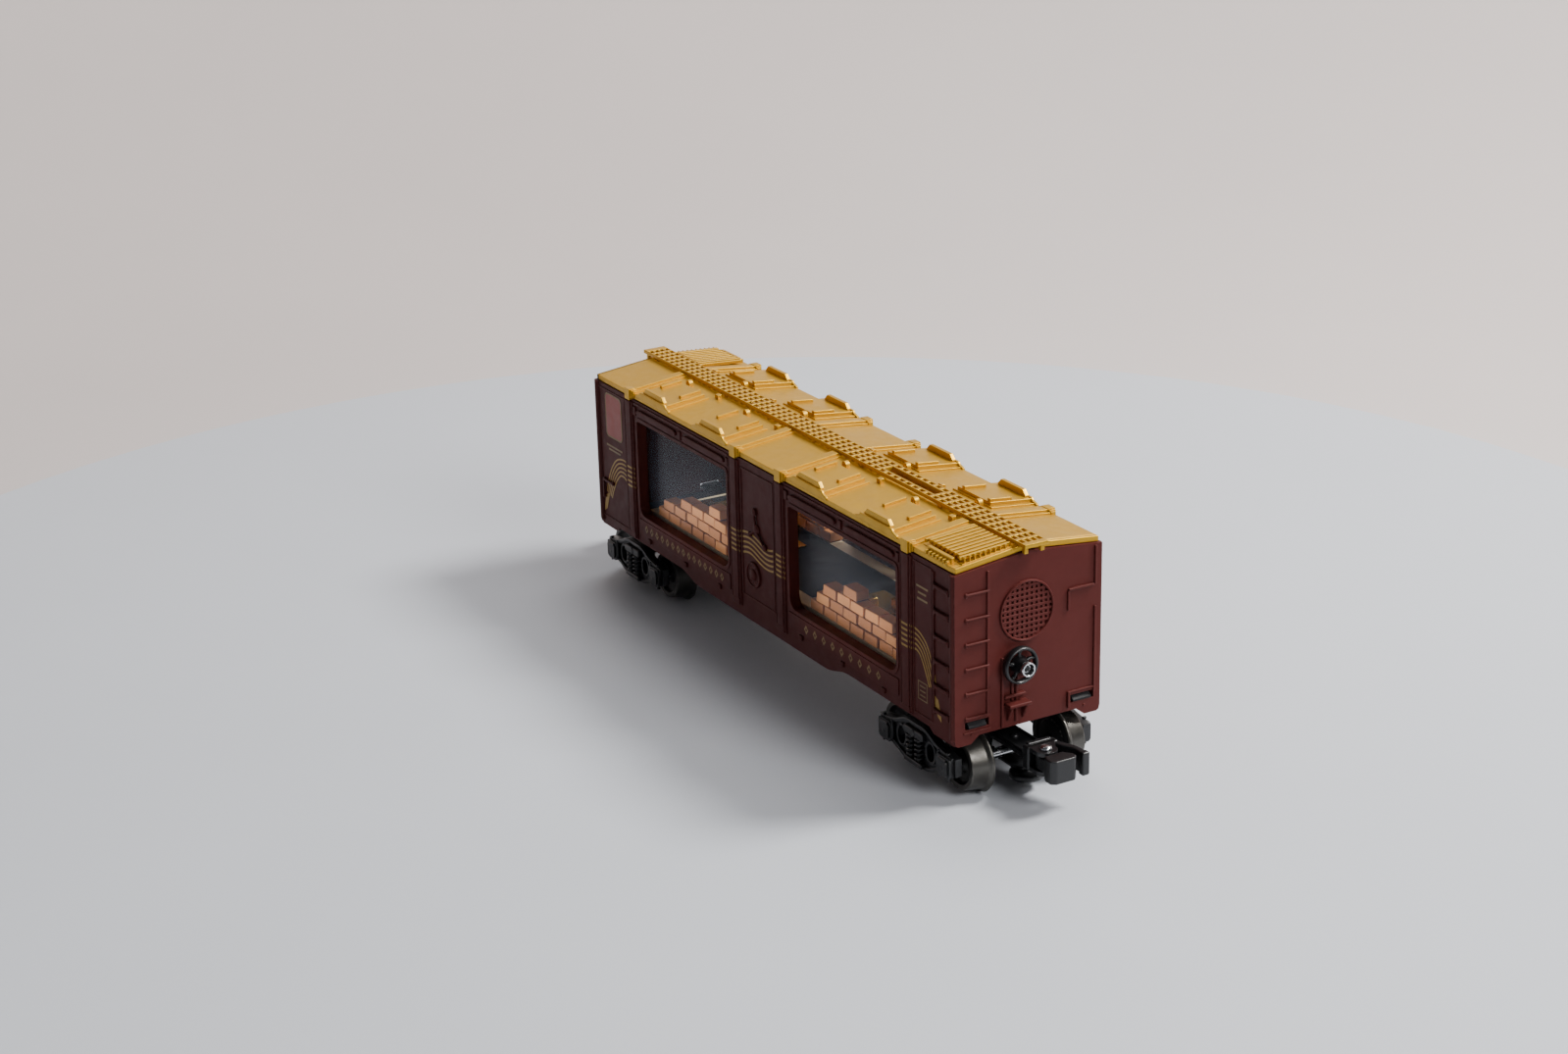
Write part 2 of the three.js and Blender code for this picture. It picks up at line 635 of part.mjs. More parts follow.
function bolster() {
  const beam = join([
    block(-5, 5, -FRAME_INNER + GAP, FRAME_INNER - GAP, 14.6, 18),
    rod(6.4, 14.6, 20.7, 20),
  ]);
  return cut(beam, [rod(KINGPIN_RADIUS + GAP, 10, 30, 16)]);
}

function kingpin() {
  const profile = [[0, 11.3], [3.4, 11.3], [3.4, 12.3], [KINGPIN_RADIUS, 12.3], [KINGPIN_RADIUS, 24.6],
    [3.2, 24.6], [3.2, 25.6], [0, 25.6]];
  return turned(profile, 16);
}

// The drawbar with the hanger for the uncoupling flap
function drawbar() {
  const shape = outline([[-6, -6], [6, -6], [12, -4.6], [HEAD_X - GAP, -4.6], [HEAD_X - GAP, 4.6], [12, 4.6],
    [6, 6], [-6, 6]]);
  const plate = levelPlate(shape, tongueBottom, tongueTop);
  const hangers = [-1, 1].map((side) => block(FLAP_X - 1.5, FLAP_X + 1.5, side * 4.6 - 0.5, side * 4.6 + 0.5,
    FLAP_Z - 1.5, tongueBottom + 0.4));
  const bores = [rod(KINGPIN_RADIUS + GAP, 5, 30, 16), rod(0.95, -8, 8, 12, AXIS_Y).translate(FLAP_X, 0, FLAP_Z)];
  return cut(join([plate, ...hangers]), bores);
}

function couplerHead() {
  const body = block(HEAD_X, HEAD_X + 3.4, -5.6, 5.6, 10, 17.6);
  const ear = (z0, z1) => {
    const shape = new THREE.Shape();
    shape.moveTo(HEAD_X + 2, -5);
    shape.lineTo(PIN_X, -5);
    shape.absarc(PIN_X, PIN_Y, 3.6, -Math.PI / 2, Math.PI / 2);
    shape.lineTo(HEAD_X + 2, 5);
    return levelPlate(shape, z0, z1, 6);
  };
  const guard = levelPlate(outline([[HEAD_X + 2, 3.4], [HEAD_X + 6, 4.2], [HEAD_X + 10, 6], [HEAD_X + 14.5, 6.4],
    [HEAD_X + 15.5, 8.4], [HEAD_X + 10, 8.8], [HEAD_X + 5, 7], [HEAD_X + 2, 5.4]]), 10.4, 17.2);
  const solid = join([body, ear(10, 11.4), ear(16.2, 17.6), guard]);
  return cut(solid, [rod(1.2, 5, 30, 12).translate(PIN_X, PIN_Y, 0)]);
}

function knuckle() {
  const arm = new THREE.Shape();
  arm.absarc(0, 0, 3, Math.PI / 2, Math.PI * 1.5);
  arm.lineTo(5.6, -3);
  arm.lineTo(5.6, 3);
  const nose = outline([[4.1, -3.4], [6, -4.2], [8.6, -4.2], [9.6, -2.6], [9.6, 4], [8.4, 5.2], [6.6, 5.2],
    [5, 3.6], [4.1, 3.2]]);
  const solid = join([levelPlate(arm, 11.8, 15.8, 6), levelPlate(nose, 10, 17.6)]);
  return cut(solid, [rod(1.2, 5, 30, 12)]);
}

function knucklePin() {
  const profile = [[0, 9.3], [1.7, 9.3], [1.7, 9.8], [0.85, 9.8], [0.85, 17.8], [1.9, 17.8], [1.6, 18.5], [0, 18.8]];
  return turned(profile, 16);
}

function uncouplingFlap() {
  const plate = block(FLAP_X - 1.6, DISC_X + 1, -3.4, 3.4, FLAP_Z - 1, FLAP_Z + 0.2);
  const eyes = [-1, 1].map((side) => block(FLAP_X - 1.6, FLAP_X + 1.6, side * 3 - 0.8, side * 3 + 0.8, FLAP_Z - 1, FLAP_Z + 1.6));
  const disc = turned([[0, 3.4], [5, 3.4], [5.4, 3.9], [5.2, 4.4], [1.6, 4.7], [1.6, FLAP_Z - 0.5],
    [0, FLAP_Z - 0.5]], 16).translate(DISC_X, 0, 0);
  const bore = rod(0.95, -8, 8, 12, AXIS_Y).translate(FLAP_X, 0, FLAP_Z);
  return cut(join([plate, ...eyes, disc]), [bore]);
}

function flapPin() {
  return rod(0.6, -5.3, 5.3, 10, AXIS_Y).translate(FLAP_X, 0, FLAP_Z);
}

function wheel() {
  const outer = WHEEL_BACK + WHEEL_WIDTH;
  const bore = AXLE_RADIUS + 0.05;
  const profile = [[bore, WHEEL_BACK], [FLANGE_RADIUS - 0.5, WHEEL_BACK], [FLANGE_RADIUS, WHEEL_BACK + 0.7],
    [TREAD_RADIUS + 0.2, WHEEL_BACK + FLANGE_THICKNESS + 0.4], [TREAD_RADIUS - 0.6, outer], [6.4, outer],
    [5.6, outer - 1.2], [bore, outer - 1.2], [bore, WHEEL_BACK]];
  return turned(profile, 24, AXIS_Y);
}

function axle() {
  return rod(AXLE_RADIUS, -24.2, 24.2, 12, AXIS_Y);
}

function truck(name, x, turn) {
  const place = new THREE.Group();
  place.position.set(x, 0, 0);
  place.rotation.z = turn;
  model.add(place);
  addPiece(place, `${name}_bolster`, bolster(), 'castBlack');
  addPiece(place, `${name}_side_frame_right`, sideFrame(), 'castBlack');
  addPiece(place, `${name}_side_frame_left`, halfTurn(sideFrame()), 'castBlack');
  addPiece(place, `${name}_drawbar`, drawbar(), 'castBlack');
  addPiece(place, `${name}_coupler_head`, couplerHead(), 'castBlack');
  addPiece(place, `${name}_knuckle_pin`, knucklePin().translate(PIN_X, PIN_Y, 0), 'steel');
  addPiece(place, `${name}_knuckle`, knuckle().translate(PIN_X, PIN_Y, 0), 'castBlack');
  addPiece(place, `${name}_uncoupling_flap`, uncouplingFlap(), 'castBlack');
  addPiece(place, `${name}_flap_pin`, flapPin(), 'steel');
  addPiece(place, `${name}_kingpin`, kingpin(), 'steel');
  [['outer', 1], ['inner', -1]].forEach(([end, side]) => {
    const set = new THREE.Group();
    set.position.set((side * WHEELBASE) / 2, 0, axleZ);
    place.add(set);
    addPiece(set, `${name}_${end}_axle`, axle(), 'steel');
    addPiece(set, `${name}_${end}_wheel_left`, wheel(), 'wheelSteel');
    addPiece(set, `${name}_${end}_wheel_right`, halfTurn(wheel()), 'wheelSteel');
  });
}

truck('brake_end_truck', TRUCK_X, 0);
truck('plain_end_truck', -TRUCK_X, Math.PI);

export default model;
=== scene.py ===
import random
from math import cos, pi, radians, sin, sqrt

import bmesh
import bpy
from mathutils import Matrix, Vector
from mathutils.geometry import tessellate_polygon

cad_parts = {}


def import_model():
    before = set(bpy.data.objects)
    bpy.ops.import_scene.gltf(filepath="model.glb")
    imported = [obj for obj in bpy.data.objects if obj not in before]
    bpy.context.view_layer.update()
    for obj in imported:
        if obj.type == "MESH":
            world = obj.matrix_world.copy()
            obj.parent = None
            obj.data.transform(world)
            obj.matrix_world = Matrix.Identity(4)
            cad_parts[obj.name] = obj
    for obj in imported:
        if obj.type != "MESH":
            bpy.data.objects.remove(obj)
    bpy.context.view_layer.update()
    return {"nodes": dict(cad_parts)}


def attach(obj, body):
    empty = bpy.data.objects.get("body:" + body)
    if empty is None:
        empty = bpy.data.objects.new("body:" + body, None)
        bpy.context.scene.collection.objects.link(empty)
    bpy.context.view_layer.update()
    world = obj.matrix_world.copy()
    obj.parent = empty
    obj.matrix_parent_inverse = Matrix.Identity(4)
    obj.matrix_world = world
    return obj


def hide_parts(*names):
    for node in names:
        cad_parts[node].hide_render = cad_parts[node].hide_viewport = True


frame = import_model()

MM = 0.001
CAR = "car"

# ---------------------------------------------------------------- dimensions, in millimetres
HALF_LENGTH = 118.3
PANEL_FACE = 26.0
PANEL_BACK = 24.0
SIDE_LIMIT = 26.98      # the furthest that a detail stands out from the middle
ROOT = -25.6            # where a detail starts, inside the panel
TAB_BOTTOM = 19.5
WALL_TOP = 74.2
PILASTERS = (-91.5, -15.0, 15.0, 91.5)
WINDOWS = (-53.2, 53.2)
WINDOW_HALF = 32.5
WINDOW_BOTTOM = 32.0
WINDOW_TOP = 67.0
JAMB_BACK = 22.6
VENT_Y = -1.0
VENT_Z = 58.4
ROOF_HALF = 25.6
ROOF_END = 117.5
EAVE_BOTTOM = 74.4
EAVE_TOP = 76.2
RIDGE = 79.1
SKIN = 1.8              # thickness of the roof, and under the roofwalk
SKIN_UNDER_WALK = 0.5
HATCHES = (-73.8, -32.6, 32.6, 73.8)
WALK_END = 122.0
WALK_HALF = 4.2
WALK_BOTTOM = 79.3
WALK_TOP = 80.6
WALK_EDGE = 3.7
SLOT_START = 39.75
SLOT_END = 69.45
SLOT_HALF = 1.3
TRAY_TOP = 31.6
BRICK_LENGTH = 8.4
BRICK_HEIGHT = 3.8
AXLE_Z = 10.2
WHEELBASE = 33.0
TRUCK_X = 94.5
KINGPIN_BORE = 2.3
BRAKE_Y = -4.6
BRAKE_Z = 42.3
STRIPE_COUNT = 5
STRIPE_PITCH = 1.75
STRIPE_WIDTH = 0.7
PAINT = 0.06            # how far print stands out
SHARP_ANGLE = radians(32)


# ---------------------------------------------------------------- forms: closed bodies in millimetres
class Form:
    """Closed bodies gathered for one piece, with a tint and a paint number for each face."""

    def __init__(self):
        self.points = []
        self.faces = []
        self.tints = []
        self.paints = []

    def add(self, points, faces, tint=0.5, paint=0):
        start = len(self.points)
        self.points += [Vector(point) for point in points]
        self.faces += [[start + corner for corner in face] for face in faces]
        self.tints += [tint] * len(faces)
        self.paints += [paint] * len(faces)
        return self

    def join(self, *others):
        for other in others:
            start = len(self.points)
            self.points += [point.copy() for point in other.points]
            self.faces += [[start + corner for corner in face] for face in other.faces]
            self.tints += other.tints
            self.paints += other.paints
        return self

    def box(self, x0, x1, y0, y1, z0, z1, edge=0.2, segments=2):
        """Joins a block with rounded edges."""
        return self.join(block(x0, x1, y0, y1, z0, z1).soft(edge, segments))

    def mapped(self, change):
        copy = Form().join(self)
        copy.points = [Vector(change(point)) for point in self.points]
        return copy

    def moved(self, x, y, z):
        return self.mapped(lambda p: (p.x + x, p.y + y, p.z + z))

    def spun(self, axis, u, v, angle):
        """Turned in the plane across an axis, y or z, about the point u, v."""
        cosine, sine = cos(angle), sin(angle)

        def turn(p):
            a, b = p.x - u, (p.z if axis == "y" else p.y) - v
            along = p.y if axis == "y" else p.z
            return PLACES[axis](u + a * cosine - b * sine, v + a * sine + b * cosine, along)
        return self.mapped(turn)

    def half_turn(self):
        return self.mapped(lambda p: (-p.x, -p.y, p.z))

    def both(self):
        return Form().join(self, self.half_turn())

    def painted(self, paint):
        self.paints = [paint] * len(self.faces)
        return self

    def soft(self, width, segments=2):
        """The same bodies with every sharp edge rounded."""
        bm = bmesh.new()
        corners = [bm.verts.new(point) for point in self.points]
        tint = bm.faces.layers.float.new("tint")
        for face, shade, paint in zip(self.faces, self.tints, self.paints):
            made = bm.faces.new([corners[index] for index in face])
            made[tint] = shade
            made.material_index = paint
        bmesh.ops.recalc_face_normals(bm, faces=bm.faces)
        sharp = [edge for edge in bm.edges if edge.is_manifold and edge.calc_face_angle() > SHARP_ANGLE]
        bmesh.ops.bevel(bm, geom=sharp, offset=width, segments=segments, profile=0.5, affect="EDGES",
                        clamp_overlap=True, material=-1)
        bm.verts.index_update()
        result = Form()
        result.points = [vert.co.copy() for vert in bm.verts]
        for face in bm.faces:
            result.faces.append([vert.index for vert in face.verts])
            result.tints.append(face[tint])
            result.paints.append(face.material_index)
        bm.free()
        return result


def block(x0, x1, y0, y1, z0, z1):
    corners = [(x, y, z) for z in (z0, z1) for y in (y0, y1) for x in (x0, x1)]
    faces = [(0, 2, 3, 1), (4, 5, 7, 6), (0, 1, 5, 4), (2, 6, 7, 3), (0, 4, 6, 2), (1, 3, 7, 5)]
    return Form().add(corners, faces)


PLACES = {
    "x": lambda u, v, a: (a, u, v),
    "y": lambda u, v, a: (u, a, v),
    "z": lambda u, v, a: (u, v, a),
}


def plate(axis, outline, low, high, holes=()):
    """An outline with holes, made into a plate from low to high along an axis."""
    place = PLACES[axis]
    loops = [list(outline), *[list(hole) for hole in holes]]
    flat = [point for loop in loops for point in loop]
    count = len(flat)
    caps = tessellate_polygon([[Vector((u, v, 0)) for u, v in loop] for loop in loops])
    faces = [tuple(cap) for cap in caps]
    faces += [tuple(count + corner for corner in reversed(cap)) for cap in caps]
    start = 0
    for loop in loops:
        for step in range(len(loop)):
            here, after = start + step, start + (step + 1) % len(loop)
            faces.append((here, after, count + after, count + here))
        start += len(loop)
    return Form().add([place(u, v, low) for u, v in flat] + [place(u, v, high) for u, v in flat], faces)


def arc(u, v, radius, start, end, steps):
    angles = [radians(start + (end - start) * step / steps) for step in range(steps + 1)]
    return [(u + radius * cos(angle), v + radius * sin(angle)) for angle in angles]


def circle(u, v, radius, steps=32):
    return arc(u, v, radius, 0, 360, steps)[:-1]


def ellipse(u, v, radius_u, radius_v, steps=24):
    return [(u + (a - u) * radius_u, v + (b - v) * radius_v) for a, b in circle(u, v, 1, steps)]


def rounded_rectangle(u0, u1, v0, v1, lower, upper, steps=6):
    """A rectangle with one corner radius below and another above."""
    return (arc(u1 - lower, v0 + lower, lower, -90, 0, steps)
            + arc(u1 - upper, v1 - upper, upper, 0, 90, steps)
            + arc(u0 + upper, v1 - upper, upper, 90, 180, steps)
            + arc(u0 + lower, v0 + lower, lower, 180, 270, steps))


def rectangle(u0, u1, v0, v1):
    return [(u0, v0), (u1, v0), (u1, v1), (u0, v1)]


def mirrored(u, half):
    """An outline that is the same on both sides of u, from its right half counted from u."""
    return [(u + a, b) for a, b in half] + [(u - a, b) for a, b in reversed(half)]


TURNED_PLACES = {
    "x": lambda r, s, h: (h, r, s),
    "y": lambda r, s, h: (s, h, r),
    "z": lambda r, s, h: (r, s, h),
}


def turned(profile, axis="z", centre=(0, 0, 0), segments=32, closed=False, paints=None):
    """A profile of (radius, height) turned about an axis through a centre. A closed profile makes a ring."""
    place = TURNED_PLACES[axis]
    points, faces, face_paints, rings = [], [], [], []
    for radius, height in profile:
        count = 1 if radius == 0 else segments
        rings.append(list(range(len(points), len(points) + count)))
        for step in range(count):
            angle = 2 * pi * step / segments
            points.append(Vector(place(radius * cos(angle), radius * sin(angle), height)) + Vector(centre))
    pairs = list(zip(rings, rings[1:])) + ([(rings[-1], rings[0])] if closed else [])
    for number, (low, high) in enumerate(pairs):
        for step in range(segments):
            after = (step + 1) % segments
            corners = [low[step % len(low)], low[after % len(low)], high[after % len(high)],
                       high[step % len(high)]]
            face = list(dict.fromkeys(corners))
            if len(face) > 2:
                faces.append(face)
                face_paints.append(paints[number] if paints else 0)
    form = Form().add(points, faces)
    form.paints = face_paints
    return form


def rod(radius, start, end, axis="z", centre=(0, 0, 0), segments=24):
    return turned([(0, start), (radius, start), (radius, end), (0, end)], axis, centre, segments)


def sweep(path, radius, sides=10):
    """A round wire along a path of points."""
    path = [Vector(point) for point in path]
    last = len(path) - 1
    points = []
    side = None
    for number, point in enumerate(path):
        ahead = (path[min(number + 1, last)] - path[max(number - 1, 0)]).normalized()
        guess = side if side is not None else Vector((0, 0, 1) if abs(ahead.z) < 0.9 else (1, 0, 0))
        side = (guess - ahead * guess.dot(ahead)).normalized()
        other = ahead.cross(side)
        points += [point + side * (radius * cos(angle)) + other * (radius * sin(angle))
                   for angle in (2 * pi * step / sides for step in range(sides))]
    faces = [list(range(sides)), list(range(last * sides, (last + 1) * sides))[::-1]]
    for low in range(0, last * sides, sides):
        for step in range(sides):
            after = (step + 1) % sides
            faces.append([low + step, low + after, low + sides + after, low + sides + step])
    return Form().add(points, faces)


def smooth_path(points, steps=6):
    """A smooth line through the points."""
    points = [Vector(point) for point in points]
    line = []
    for number in range(len(points) - 1):
        before = points[max(number - 1, 0)]
        a, b = points[number], points[number + 1]
        beyond = points[min(number + 2, len(points) - 1)]
        for step in range(steps):
            t = step / steps
            line.append(0.5 * (2 * a + (b - before) * t + (2 * before - 5 * a + 4 * b - beyond) * t * t
                               + (3 * a - before - 3 * b + beyond) * t ** 3))
    return line + [points[-1]]


def offset_line(line, distance):
    """The line moved sideways, by one distance or by one for each point."""
    moved = []
    for number, point in enumerate(line):
        ahead = (line[min(number + 1, len(line) - 1)] - line[max(number - 1, 0)]).normalized()
        reach = distance[number] if isinstance(distance, list) else distance
        moved.append(point + Vector((-ahead.y, ahead.x)) * reach)
    return moved


def ribbon(axis, line, width, low, high):
    """A strip along a line in a plane, from low to high across it."""
    line = [Vector(point) for point in line]
    left, right = offset_line(line, width / 2), offset_line(line, -width / 2)
    count = len(line)
    place = PLACES[axis]
    points = [place(p.x, p.y, a) for a in (low, high) for p in left + right]
    faces = [(0, count, 3 * count, 2 * count), (count - 1, 3 * count - 1, 4 * count - 1, 2 * count - 1)]
    for n in range(count - 1):
        faces.append((n, n + 1, count + n + 1, count + n))
        faces.append((2 * count + n, 3 * count + n, 3 * count + n + 1, 2 * count + n + 1))
        faces.append((n, 2 * count + n, 2 * count + n + 1, n + 1))
        faces.append((count + n, count + n + 1, 3 * count + n + 1, 3 * count + n))
    return Form().add(points, faces)


def lattice(xs, ys, is_open, z0, z1):
    """A flat plate over a grid of cells, with the open cells left out."""
    points, faces, index = [], [], {}

    def corner(i, j, level):
        key = (i, j, level)
        if key not in index:
            index[key] = len(points)
            points.append((xs[i], ys[j], (z0, z1)[level]))
        return index[key]

    def filled(i, j):
        return 0 <= i < len(xs) - 1 and 0 <= j < len(ys) - 1 and not is_open(i, j)

    for i in range(len(xs) - 1):
        for j in range(len(ys) - 1):
            if not filled(i, j):
                continue
            ring = [(i, j), (i + 1, j), (i + 1, j + 1), (i, j + 1)]
            faces.append([corner(a, b, 1) for a, b in ring])
            faces.append([corner(a, b, 0) for a, b in reversed(ring)])
            for number, (di, dj) in enumerate([(0, -1), (1, 0), (0, 1), (-1, 0)]):
                if not filled(i + di, j + dj):
                    (a, b), (c, d) = ring[number], ring[(number + 1) % 4]
                    faces.append([corner(a, b, 0), corner(c, d, 0), corner(c, d, 1), corner(a, b, 1)])
    return Form().add(points, faces)


# ---------------------------------------------------------------- materials
def linear(red, green, blue):
    def channel(value):
        value /= 255
        return value / 12.92 if value <= 0.04045 else ((value + 0.055) / 1.055) ** 2.4
    return (channel(red), channel(green), channel(blue), 1)


class Nodes:
    """Short calls for a material's node tree."""

    def __init__(self, name):
        self.material = bpy.data.materials.new(name)
        self.material.use_nodes = True
        self.tree = self.material.node_tree
        self.shader = self.tree.nodes["Principled BSDF"]
        self.place = self.add("ShaderNodeTexCoord").outputs["Object"]

    def add(self, kind, **settings):
        node = self.tree.nodes.new(kind)
        for key, value in settings.items():
            setattr(node, key, value)
        return node

    def link(self, source, target):
        self.tree.links.new(source, target)

    def noise(self, scale, detail=2.0, rough=0.5, stretch=None):
        node = self.add("ShaderNodeTexNoise")
        node.inputs["Scale"].default_value = scale
        node.inputs["Detail"].default_value = detail
        node.inputs["Roughness"].default_value = rough
        source = self.place
        if stretch:
            scaled = self.add("ShaderNodeMapping")
            scaled.inputs["Scale"].default_value = stretch
            self.link(self.place, scaled.inputs["Vector"])
            source = scaled.outputs["Vector"]
        self.link(source, node.inputs["Vector"])
        return node.outputs["Fac"]

    def ramp(self, value, low, high, out_low, out_high):
        node = self.add("ShaderNodeMapRange")
        limits = {"From Min": low, "From Max": high, "To Min": out_low, "To Max": out_high}
        for name, number in limits.items():
            node.inputs[name].default_value = number
        self.link(value, node.inputs["Value"])
        return node.outputs["Result"]

    def maths(self, operation, a, b):
        node = self.add("ShaderNodeMath", operation=operation)
        for socket, value in zip(node.inputs, (a, b)):
            if isinstance(value, (int, float)):
                socket.default_value = value
            else:
                self.link(value, socket)
        return node.outputs["Value"]

    def mix(self, factor, a, b):
        node = self.add("ShaderNodeMix", data_type="RGBA")
        self.link(factor, node.inputs["Factor"])
        for socket, value in ((node.inputs[6], a), (node.inputs[7], b)):
            if isinstance(value, tuple):
                socket.default_value = value
            else:
                self.link(value, socket)
        return node.outputs[2]

    def edges(self, radius):
        """How strongly a point lies on a rounded edge, from 0 to 1."""
        bevel = self.add("ShaderNodeBevel", samples=4)
        bevel.inputs["Radius"].default_value = radius
        geometry = self.add("ShaderNodeNewGeometry")
        dot = self.add("ShaderNodeVectorMath", operation="DOT_PRODUCT")
        self.link(bevel.outputs["Normal"], dot.inputs[0])
        self.link(geometry.outputs["True Normal"], dot.inputs[1])
        return self.ramp(dot.outputs["Value"], 0.995, 0.82, 0, 1)

    def bump(self, height, distance, strength=1.0):
        node = self.add("ShaderNodeBump")
        node.inputs["Strength"].default_value = strength
        node.inputs["Distance"].default_value = distance
        self.link(height, node.inputs["Height"])
        self.link(node.outputs["Normal"], self.shader.inputs["Normal"])


def shaded(colour, factor):
    return tuple(min(1.0, value * factor) for value in colour[:3]) + (1,)


ROUGH_SPREAD = 0.07
EDGE_RADIUS = 0.00022
LIGHTEST_TINT = 1.55
DARKEST_TINT = 0.62


def finish(name, colour, rough, metal=0.0, wear_and_highlight_colour=None, wear_and_highlight_amount=0.0, grain=2600, depth=0.00002, variation=0.1,
           coat=0.0, tinted=0.0, stretch=None, shine=0.5):
    """A moulded, cast or painted surface: mottled colour, uneven gloss, fine grain, and edges lightened
    partly as wear and partly as a painted highlight.
    """
    nodes = Nodes(name)
    colour = linear(*colour)
    mottle = nodes.maths("ADD", nodes.maths("MULTIPLY", nodes.noise(55, 3), 0.6),
                         nodes.maths("MULTIPLY", nodes.noise(420, 2), 0.4))
    shade = nodes.mix(nodes.ramp(mottle, 0.32, 0.68, 0, 1), shaded(colour, 1 - variation),
                      shaded(colour, 1 + variation))
    if tinted:
        tint = nodes.add("ShaderNodeAttribute", attribute_name="tint").outputs["Fac"]
        shade = nodes.mix(nodes.ramp(tint, 0, 1, 0, tinted), shade, shaded(colour, LIGHTEST_TINT))
        dark = nodes.ramp(tint, 0.5, 0, 0, tinted)
        shade = nodes.mix(dark, shade, shaded(colour, DARKEST_TINT))
    # Rounded edges are lightened towards a paler colour: partly wear, partly a painted highlight on the
    # edges.
    if wear_and_highlight_colour:
        broken = nodes.ramp(nodes.noise(900, 3), 0.42, 0.62, 0, 1)
        edge = nodes.maths("MULTIPLY", nodes.edges(EDGE_RADIUS), nodes.maths("MULTIPLY", broken, wear_and_highlight_amount))
        shade = nodes.mix(edge, shade, linear(*wear_and_highlight_colour))
    nodes.link(shade, nodes.shader.inputs["Base Color"])
    gloss = nodes.ramp(nodes.noise(260, 3, 0.6), 0.3, 0.7, max(0.02, rough - ROUGH_SPREAD),
                       rough + ROUGH_SPREAD)
    nodes.link(gloss, nodes.shader.inputs["Roughness"])
    nodes.shader.inputs["Metallic"].default_value = metal
    nodes.shader.inputs["Coat Weight"].default_value = coat
    nodes.shader.inputs["Specular IOR Level"].default_value = shine
    nodes.bump(nodes.noise(grain, 2, 0.6, stretch), depth)
    return nodes.material


def glass():
    """Clear styrene: nearly see-through face on, more mirror-like at a slant, with faint haze; its blue-grey
    colour, shown more at a slant, is a painted reflection of the surroundings.
    """
    nodes = Nodes("clear_styrene")
    # The blue-grey base colour is a painted reflection of the dim surroundings on the pane.
    nodes.shader.inputs["Base Color"].default_value = linear(84, 92, 106)
    nodes.shader.inputs["IOR"].default_value = 1.5
    haze = nodes.ramp(nodes.noise(35, 4), 0.35, 0.7, 0.0, 0.04)
    slant = nodes.add("ShaderNodeLayerWeight")
    slant.inputs["Blend"].default_value = 0.35
    painted_reflection_and_haze = nodes.maths("ADD", nodes.ramp(slant.outputs["Facing"], 0.0, 1.0, 0.05, 0.24), haze)
    nodes.link(painted_reflection_and_haze, nodes.shader.inputs["Alpha"])
    nodes.link(nodes.ramp(nodes.noise(120, 3), 0.3, 0.7, 0.03, 0.09), nodes.shader.inputs["Roughness"])
    nodes.bump(nodes.noise(28, 1), 0.00003, 0.4)
    return nodes.material


MAROON = finish("maroon_styrene", (78, 33, 30), 0.5, wear_and_highlight_colour=(140, 86, 80), wear_and_highlight_amount=0.3, variation=0.07,
                shine=0.12, depth=0.000012)
GOLD = finish("gold_paint", (196, 152, 44), 0.38, metal=0.7, variation=0.05, shine=0.2, grain=3200,
              depth=0.00001)
STRIPE = finish("gold_print", (158, 124, 62), 0.46, metal=0.2, variation=0.12, shine=0.3)
DULL_PRINT = finish("dull_gold_print", (122, 96, 58), 0.5, metal=0.15, variation=0.2)
PLAQUE = finish("red_print", (150, 66, 58), 0.5, variation=0.12)
CREAM = finish("cream_styrene", (240, 222, 184), 0.45, wear_and_highlight_colour=(246, 236, 206), wear_and_highlight_amount=0.4, variation=0.06)
BRICK = finish("tan_cast_bars", (224, 148, 90), 0.52, wear_and_highlight_colour=(246, 196, 150), wear_and_highlight_amount=0.4, tinted=0.55,
               grain=1800, depth=0.00004)
JOINT = finish("brown_joints", (96, 58, 38), 0.7, variation=0.25)
BULLION = finish("bright_gold_bars", (224, 178, 84), 0.22, metal=0.9, wear_and_highlight_colour=(250, 226, 150), wear_and_highlight_amount=0.6,
                 tinted=0.5)
BLACK = finish("black_styrene", (22, 22, 24), 0.6, wear_and_highlight_colour=(54, 54, 56), wear_and_highlight_amount=0.3, shine=0.25)
TRUCK = finish("black_die_cast", (16, 16, 18), 0.4, metal=0.1, wear_and_highlight_colour=(72, 72, 74), wear_and_highlight_amount=0.4, grain=1500,
               depth=0.00004, coat=0.12)
WHEEL = finish("blackened_steel", (38, 37, 36), 0.42, metal=0.7, wear_and_highlight_colour=(150, 146, 140), wear_and_highlight_amount=0.6, grain=1500,
               depth=0.00003)
TREAD = finish("turned_steel", (78, 76, 72), 0.34, metal=0.85, wear_and_highlight_colour=(190, 186, 178), wear_and_highlight_amount=0.5, grain=2400,
               depth=0.00002, stretch=(1, 6, 1))
STEEL = finish("bright_steel", (196, 197, 200), 0.22, metal=1.0, wear_and_highlight_colour=(240, 240, 242), wear_and_highlight_amount=0.5,
               depth=0.00001)
GLASS = glass()


